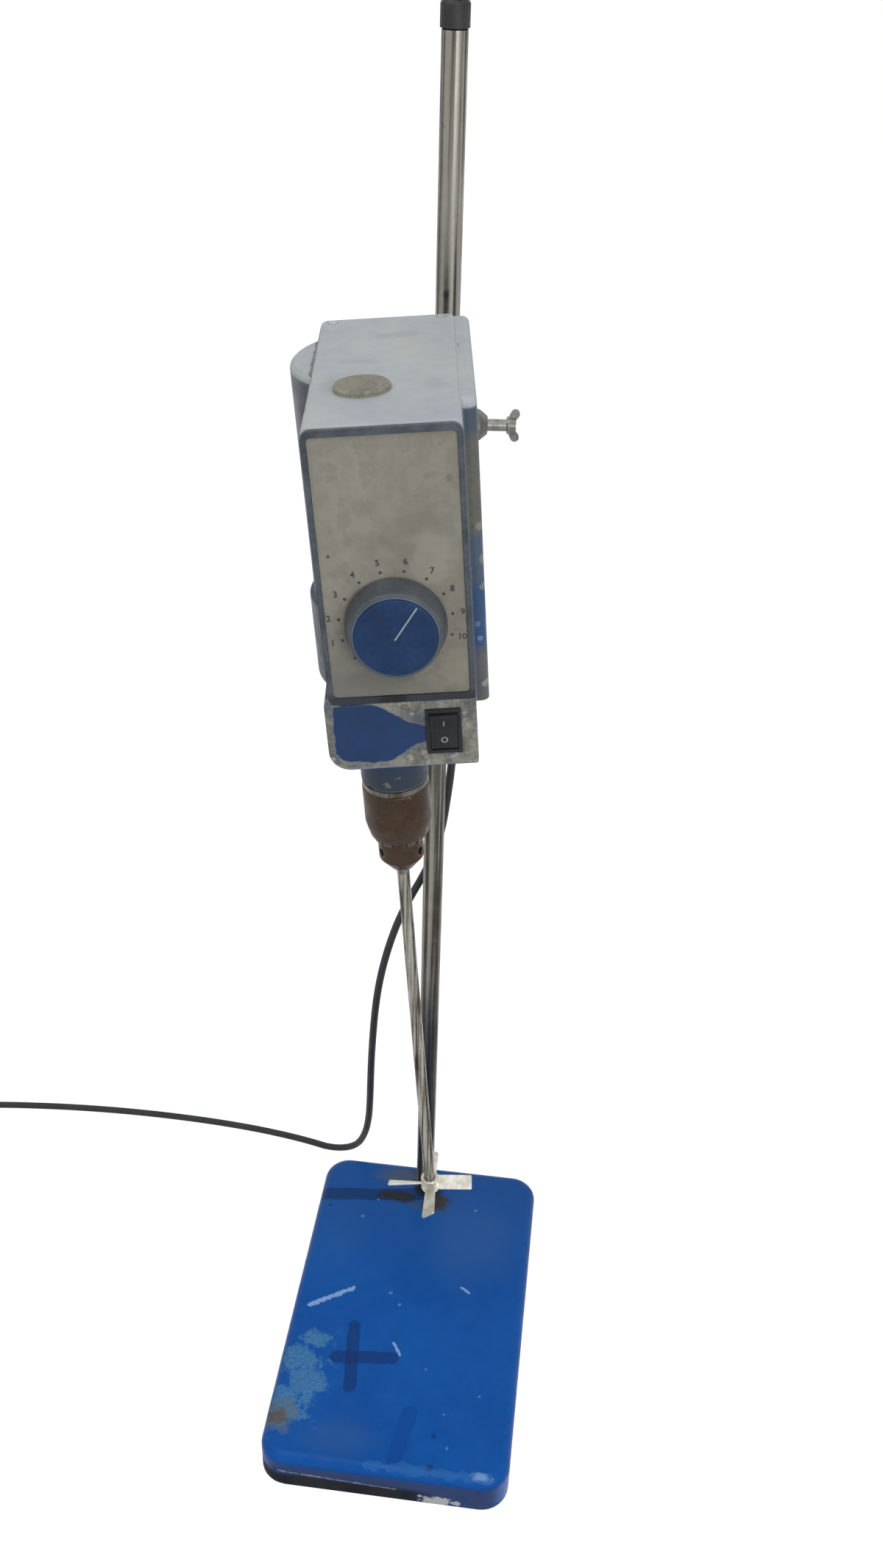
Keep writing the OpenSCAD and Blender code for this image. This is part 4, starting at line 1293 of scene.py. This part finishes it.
def bezel_plastic():
    made, tree, shader = start_material("bezel plastic", 0.5, specular=0.25)
    spots = coordinates(tree, on_head=True)
    colour = mixed(
        tree,
        use(tree, grime, Vector=spots, Scale=45.0, Contrast=0.2),
        linear(54, 59, 64),
        linear(84, 91, 100),
    )
    low = ramped(tree, along_axis(tree, spots, 2), -0.146, -0.151)
    colour = over(tree, colour, low, 0.85, (42, 46, 52))
    stain = use(
        tree,
        blot,
        Vector=spots,
        Centre=at(-5, 0, -152),
        Size=at(10, 6, 6),
        Ragged=1.0,
        Scale=150.0,
        Soft=0.5,
    )
    colour = mixed(tree, stain, colour, linear(30, 30, 32))
    tree.links.new(colour, shader.inputs["Base Color"])
    bump(tree, shader, noise(tree, spots, 400.0, 3.0, 0.6), 0.1 * mm, 0.3)
    return made


panel_stains = [
    ((32, 0, -28), (2.2, 4, 2.6), 0.45, (96, 92, 84)),
    ((-32, 0, -67), (1.1, 4, 1.1), 0.8, (60, 58, 54)),
    ((18, 0, -52), (22, 9, 9), 0.30, (112, 108, 96)),
    ((-6, 0, -60), (20, 9, 7), 0.30, (118, 114, 102)),
    ((-22, 0, -30), (16, 9, 6), 0.20, (144, 142, 132)),
    ((-14, 0, -141), (26, 9, 9), 0.40, (98, 97, 90)),
    ((2, 0, -139), (6, 9, 4), 0.35, (84, 82, 74)),
    ((30, 0, -135), (12, 9, 14), 0.35, (148, 144, 130)),
    ((20, 0, -72), (14, 9, 24), 0.40, (152, 150, 140)),
    ((-12, 0, -42), (9, 9, 6), 0.35, (108, 106, 96)),
]


def panel_plate():
    made, tree, shader = start_material("panel plate", 0.5, specular=0.25)
    spots = coordinates(tree, on_head=True)
    colour = mixed(
        tree,
        use(tree, grime, Vector=spots, Scale=18.0, Contrast=0.22),
        linear(120, 117, 105),
        linear(146, 143, 132),
    )
    # Painted shade, darker below and to the left of the knob
    painted_panel_shade = ramped(tree, along_axis(tree, spots, 2), -0.09, -0.15)
    painted_panel_shade = times(tree, painted_panel_shade, ramped(tree, along_axis(tree, spots, 0), 0.03, -0.02))
    colour = over(tree, colour, painted_panel_shade, 0.5, (100, 102, 100))
    mottle = ramped(tree, noise(tree, spots, 70.0, 6.0, 0.62), 0.52, 0.62)
    colour = over(tree, colour, mottle, 0.3, (106, 103, 92))
    for centre, size, strength, tint in panel_stains:
        stain = use(
            tree, blot, Vector=spots, Centre=at(*centre), Size=at(*size), Ragged=1.1, Scale=70.0, Soft=0.6
        )
        colour = over(tree, colour, stain, strength, tint)
    tree.links.new(colour, shader.inputs["Base Color"])
    tree.links.new(
        ramped(tree, noise(tree, spots, 50.0, 4.0, 0.6), 0.3, 0.7, 0.4, 0.6), shader.inputs["Roughness"]
    )
    bump(tree, shader, noise(tree, spots, 900.0, 3.0, 0.6), 0.05 * mm, 0.3)
    return made


# %% [markdown]
# Bare metal is a dark base colour with Metallic at 1, since it shows what it
# reflects. Chrome on an old rod is dull, with lines along it and a stretch near
# the plate painted dark, as tarnish and as a painted reflection, and the chuck's
# steel has been browned.


# %% Metals
def worn_steel(
    name, dark, light, roughness, line_scale=500.0, grime_scale=60.0, spots_dark=0.5, lines_share=0.5
):
    made, tree, shader = start_material(name, roughness, 1.0)
    spots = coordinates(tree)
    lines = use(tree, streaks, Vector=spots, Scale=line_scale)
    dirt = use(tree, grime, Vector=spots, Scale=grime_scale, Contrast=0.2)
    share = plus(tree, times(tree, lines, lines_share), times(tree, dirt, 1 - lines_share))
    colour = mixed(tree, share, linear(*dark), linear(*light))
    pitted = use(tree, wear, Vector=spots, Scale=4 * grime_scale, Amount=0.3, Edges=0.0)
    colour = over(tree, colour, pitted, spots_dark, (52, 44, 38))
    tree.links.new(
        ramped(tree, dirt, 0.0, 1.0, roughness + 0.1, roughness - 0.06), shader.inputs["Roughness"]
    )
    bump(tree, shader, lines, 0.04 * mm, 0.3)
    return made, tree, shader, spots, colour


def plain_steel(*values, **more):
    made, tree, shader, spots, colour = worn_steel(*values, **more)
    tree.links.new(colour, shader.inputs["Base Color"])
    return made


def rod_chrome():
    made, tree, shader, spots, colour = worn_steel(
        "rod chrome", (48, 42, 35), (146, 144, 136), 0.32, 260.0, 24.0, 0.3, 0.85
    )
    up = along_axis(tree, spots, 2)
    # Tarnish and a painted dark reflection on the stretch above the plate
    stretch = times(tree, ramped(tree, up, 0.04, 0.07), ramped(tree, up, 0.28, 0.2))
    colour = over(tree, colour, stretch, 0.6, (46, 47, 48))
    tree.links.new(ramped(tree, up, 0.03, 0.08, 0.35, 1.0), shader.inputs["Metallic"])
    tree.links.new(colour, shader.inputs["Base Color"])
    return made


def browned_steel():
    made, tree, shader = start_material("browned steel", 0.45, 0.4, specular=0.25)
    spots = coordinates(tree, on_head=True)
    colour = mixed(
        tree,
        use(tree, grime, Vector=spots, Scale=60.0, Contrast=0.22),
        linear(50, 38, 28),
        linear(74, 58, 45),
    )
    rubbed = use(tree, wear, Vector=spots, Scale=160.0, Amount=0.24, Edges=2.6)
    colour = over(tree, colour, rubbed, 0.6, (118, 106, 92))
    oil = use(tree, wear, Vector=spots, Scale=300.0, Amount=0.33, Edges=0.0)
    colour = over(tree, colour, oil, 0.7, (24, 22, 22))
    tree.links.new(colour, shader.inputs["Base Color"])
    tree.links.new(
        ramped(tree, noise(tree, spots, 90.0, 4.0, 0.6), 0.3, 0.7, 0.34, 0.52), shader.inputs["Roughness"]
    )
    bump(tree, shader, noise(tree, spots, 500.0, 3.0, 0.6), 0.08 * mm, 0.35)
    return made


# %% [markdown]
# Plastic and rubber share one recipe: two close colours mixed by grime, a few
# rubbed edges and a fine moulded grain.


# %% Plastics and rubber
def moulded(name, dark, light, roughness, specular=0.25, grain=500.0, depth=0.08, rub=0.2, on_head=True):
    made, tree, shader = start_material(name, roughness, specular=specular)
    spots = coordinates(tree, on_head)
    colour = mixed(
        tree, use(tree, grime, Vector=spots, Scale=50.0, Contrast=0.22), linear(*dark), linear(*light)
    )
    rubbed = use(tree, wear, Vector=spots, Scale=180.0, Amount=0.2, Edges=1.8)
    pale = [min(255, 1.5 * value + 18) for value in light]
    colour = over(tree, colour, rubbed, rub, pale)
    tree.links.new(colour, shader.inputs["Base Color"])
    tree.links.new(
        ramped(tree, noise(tree, spots, 60.0, 4.0, 0.6), 0.3, 0.7, roughness - 0.05, roughness + 0.1),
        shader.inputs["Roughness"],
    )
    bump(tree, shader, noise(tree, spots, grain, 3.0, 0.6), depth * mm, 0.4)
    return made


finishes = {
    "base_paint": plate_paint(),
    "foot_rubber": moulded("foot rubber", (28, 28, 29), (44, 44, 45), 0.7, on_head=False),
    "lid_screw": plain_steel("pale zinc", (168, 172, 174), (206, 210, 210), 0.4),
    "screw_steel": plain_steel("zinc plate", (104, 104, 102), (160, 160, 156), 0.35),
    "rod_chrome": rod_chrome(),
    "black_plastic": moulded("black plastic", (36, 36, 37), (58, 58, 58), 0.5, on_head=False),
    "boss_metal": plain_steel(
        "cast boss", (86, 86, 84), (128, 127, 122), 0.5, line_scale=90.0, grime_scale=120.0
    ),
    "wing_nickel": plain_steel(
        "dull nickel", (92, 92, 88), (156, 156, 150), 0.36, line_scale=120.0, grime_scale=90.0
    ),
    "head_paint": head_paint(),
    "lid_grey": lid_plastic(),
    "bezel_grey": bezel_plastic(),
    "panel_beige": panel_plate(),
    "print_black": moulded("black print", (48, 47, 45), (70, 69, 66), 0.6),
    "knob_grey": moulded("knob grey", (66, 70, 74), (88, 92, 95), 0.5, rub=0.25),
    "rim_grey": moulded("rim grey", (66, 77, 90), (88, 99, 112), 0.45, rub=0.1),
    "cap_navy": moulded("cap navy", (20, 42, 74), (30, 58, 98), 0.45, specular=0.2, rub=0.2),
    "pointer_white": moulded("pale plastic", (112, 122, 132), (140, 150, 158), 0.4),
    "switch_black": moulded("switch black", (32, 34, 36), (46, 48, 50), 0.45, specular=0.15),
    "plug_beige": moulded("plug beige", (106, 102, 90), (142, 138, 124), 0.55, depth=0.2, rub=0.3),
    "drive_steel": plain_steel("ground steel", (120, 120, 118), (176, 176, 172), 0.3),
    "pulley_aluminium": plain_steel("turned aluminium", (140, 140, 140), (186, 186, 186), 0.35),
    "belt_rubber": moulded("belt rubber", (26, 26, 26), (40, 40, 40), 0.75),
    "board_green": moulded("board green", (22, 70, 44), (34, 92, 60), 0.4),
    "screw_black": plain_steel("black screw", (30, 30, 30), (52, 52, 52), 0.45),
    "cord_black": moulded("cord black", (40, 41, 42), (56, 57, 58), 0.5, on_head=False),
    "chuck_steel": plain_steel("chuck steel", (58, 54, 48), (122, 119, 112), 0.3, line_scale=200.0),
    "sleeve_brown": browned_steel(),
    "shaft_steel": plain_steel(
        "shaft steel",
        (46, 32, 22),
        (172, 170, 160),
        0.3,
        line_scale=330.0,
        grime_scale=45.0,
        lines_share=0.85,
    ),
    "blade_steel": plain_steel(
        "blade steel",
        (158, 154, 140),
        (222, 220, 212),
        0.42,
        line_scale=120.0,
        grime_scale=50.0,
        spots_dark=0.08,
        lines_share=0.3,
    ),
    "pin_nickel": plain_steel("plated pin", (160, 158, 150), (205, 203, 196), 0.25),
}
print("finishes", len(finishes))

# %% [markdown]
# Every shown piece takes the finish of its slot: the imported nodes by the
# record, and the new pieces by the slot that they were given.


# %% Put the finishes on
def dress(piece, finish):
    piece.data.materials.clear()
    piece.data.materials.append(finish)


for name, node in nodes.items():
    dress(node, finishes[slot_of[name]])
for name, piece in pieces.items():
    dress(piece, finishes[slot_of[name]])
dress(nodes["cover_screws"], finishes["lid_screw"])
for piece, slot in (
    (lead_roll, "cord_black"),
    (lead_slide, "cord_black"),
    (lead, "cord_black"),
    (knob_skirt, "knob_grey"),
    (knob_rim, "rim_grey"),
    (knob_disc, "cap_navy"),
    (knob_line, "pointer_white"),
    (dial_numbers, "print_black"),
    (switch_marks, "pointer_white"),
    (propeller, "blade_steel"),
    (strain_relief, "cord_black"),
):
    dress(piece, finishes[slot])

# The nose of the chuck is browned like its sleeve: only the rear ring is bright
chuck = pieces["chuck_body"]
chuck.data.materials.append(finishes["sleeve_brown"])
ring_gap, ring_height = 0.8, 3.4
ring_low = head_height + neck_length + ring_gap + ring_height
to_head = head_place.inverted()
for polygon in chuck.data.polygons:
    if (to_head @ polygon.center).z < -(ring_low + 0.2) * mm:
        polygon.material_index = 1

# %% [markdown]
# The stage is a pale bench with nothing behind it. Camera and glossy rays see
# white, while the light that falls on the stirrer is a plain grey sky and two
# large soft lamps.


# %% Stage, sky and lamps
def bench():
    bm = bmesh.new()
    bmesh.ops.create_grid(bm, x_segments=1, y_segments=1, size=6)
    bmesh.ops.translate(bm, verts=bm.verts, vec=(0, 0, floor_z))
    mesh = bpy.data.meshes.new("bench")
    bm.to_mesh(mesh)
    bm.free()
    return new_piece("bench", mesh)


bench_top = bench()


def white_to_eye(tree, lit, strength=1.0, share=1.0):
    """White for camera and mirror rays, the given shader for the rest."""
    path = add(tree, "LightPath")
    seen = maths(tree, "MAXIMUM", path.outputs["Is Camera Ray"], path.outputs["Is Glossy Ray"])
    seen = maths(tree, "MAXIMUM", seen, path.outputs["Is Transmission Ray"])
    white = add(tree, "Emission" if lit.node.type != "BACKGROUND" else "Background", Strength=strength)
    white.inputs["Color"].default_value = (1, 1, 1, 1)
    both = tree.nodes.new("ShaderNodeMixShader")
    tree.links.new(times(tree, seen, share), both.inputs[0])
    tree.links.new(lit, both.inputs[1])
    tree.links.new(white.outputs[0], both.inputs[2])
    return both.outputs[0]


grey_for_light, pale_for_eye = (0.42, 0.42, 0.42, 1), (0.95, 0.95, 0.95, 1)
bench_glow, bench_glow_share = 1.24, 0.76
bench_finish = bpy.data.materials.new("bench top")
bench_finish.use_nodes = True
bench_tree = bench_finish.node_tree
bench_shader = bench_tree.nodes["Principled BSDF"]
bench_shader.inputs["Roughness"].default_value = 0.8
camera_ray = add(bench_tree, "LightPath").outputs["Is Camera Ray"]
seen_pale = mixed(bench_tree, camera_ray, grey_for_light, pale_for_eye)
bench_tree.links.new(seen_pale, bench_shader.inputs["Base Color"])
bench_seen = white_to_eye(bench_tree, bench_shader.outputs[0], bench_glow, bench_glow_share)
bench_tree.links.new(bench_seen, bench_tree.nodes["Material Output"].inputs["Surface"])
dress(bench_top, bench_finish)

world = bpy.data.worlds.new("sky")
world.use_nodes = True
sky = world.node_tree.nodes["Background"]
sky.inputs["Color"].default_value = (0.95, 0.97, 1.0, 1)
sky.inputs["Strength"].default_value = 0.55
world.node_tree.links.new(
    white_to_eye(world.node_tree, sky.outputs[0]), world.node_tree.nodes["World Output"].inputs["Surface"]
)
bpy.context.scene.world = world


def soft_lamp(name, spot, target, size, power):
    data = bpy.data.lights.new(name, "AREA")
    data.size = size
    data.energy = power
    lamp = bpy.data.objects.new(name, data)
    bpy.context.scene.collection.objects.link(lamp)
    aim = Vector(target) - Vector(spot)
    lamp.rotation_euler = aim.to_track_quat("-Z", "Y").to_euler()
    lamp.location = spot
    return lamp


soft_lamp("ceiling lamp", (-0.6, -0.6, 2.3), (0, 0, 0.5), 1.4, 10)
soft_lamp("window lamp", (1.2, -2.0, 1.3), (0, 0, 0.6), 1.2, 24)
bpy.context.scene.view_settings.view_transform = "Standard"
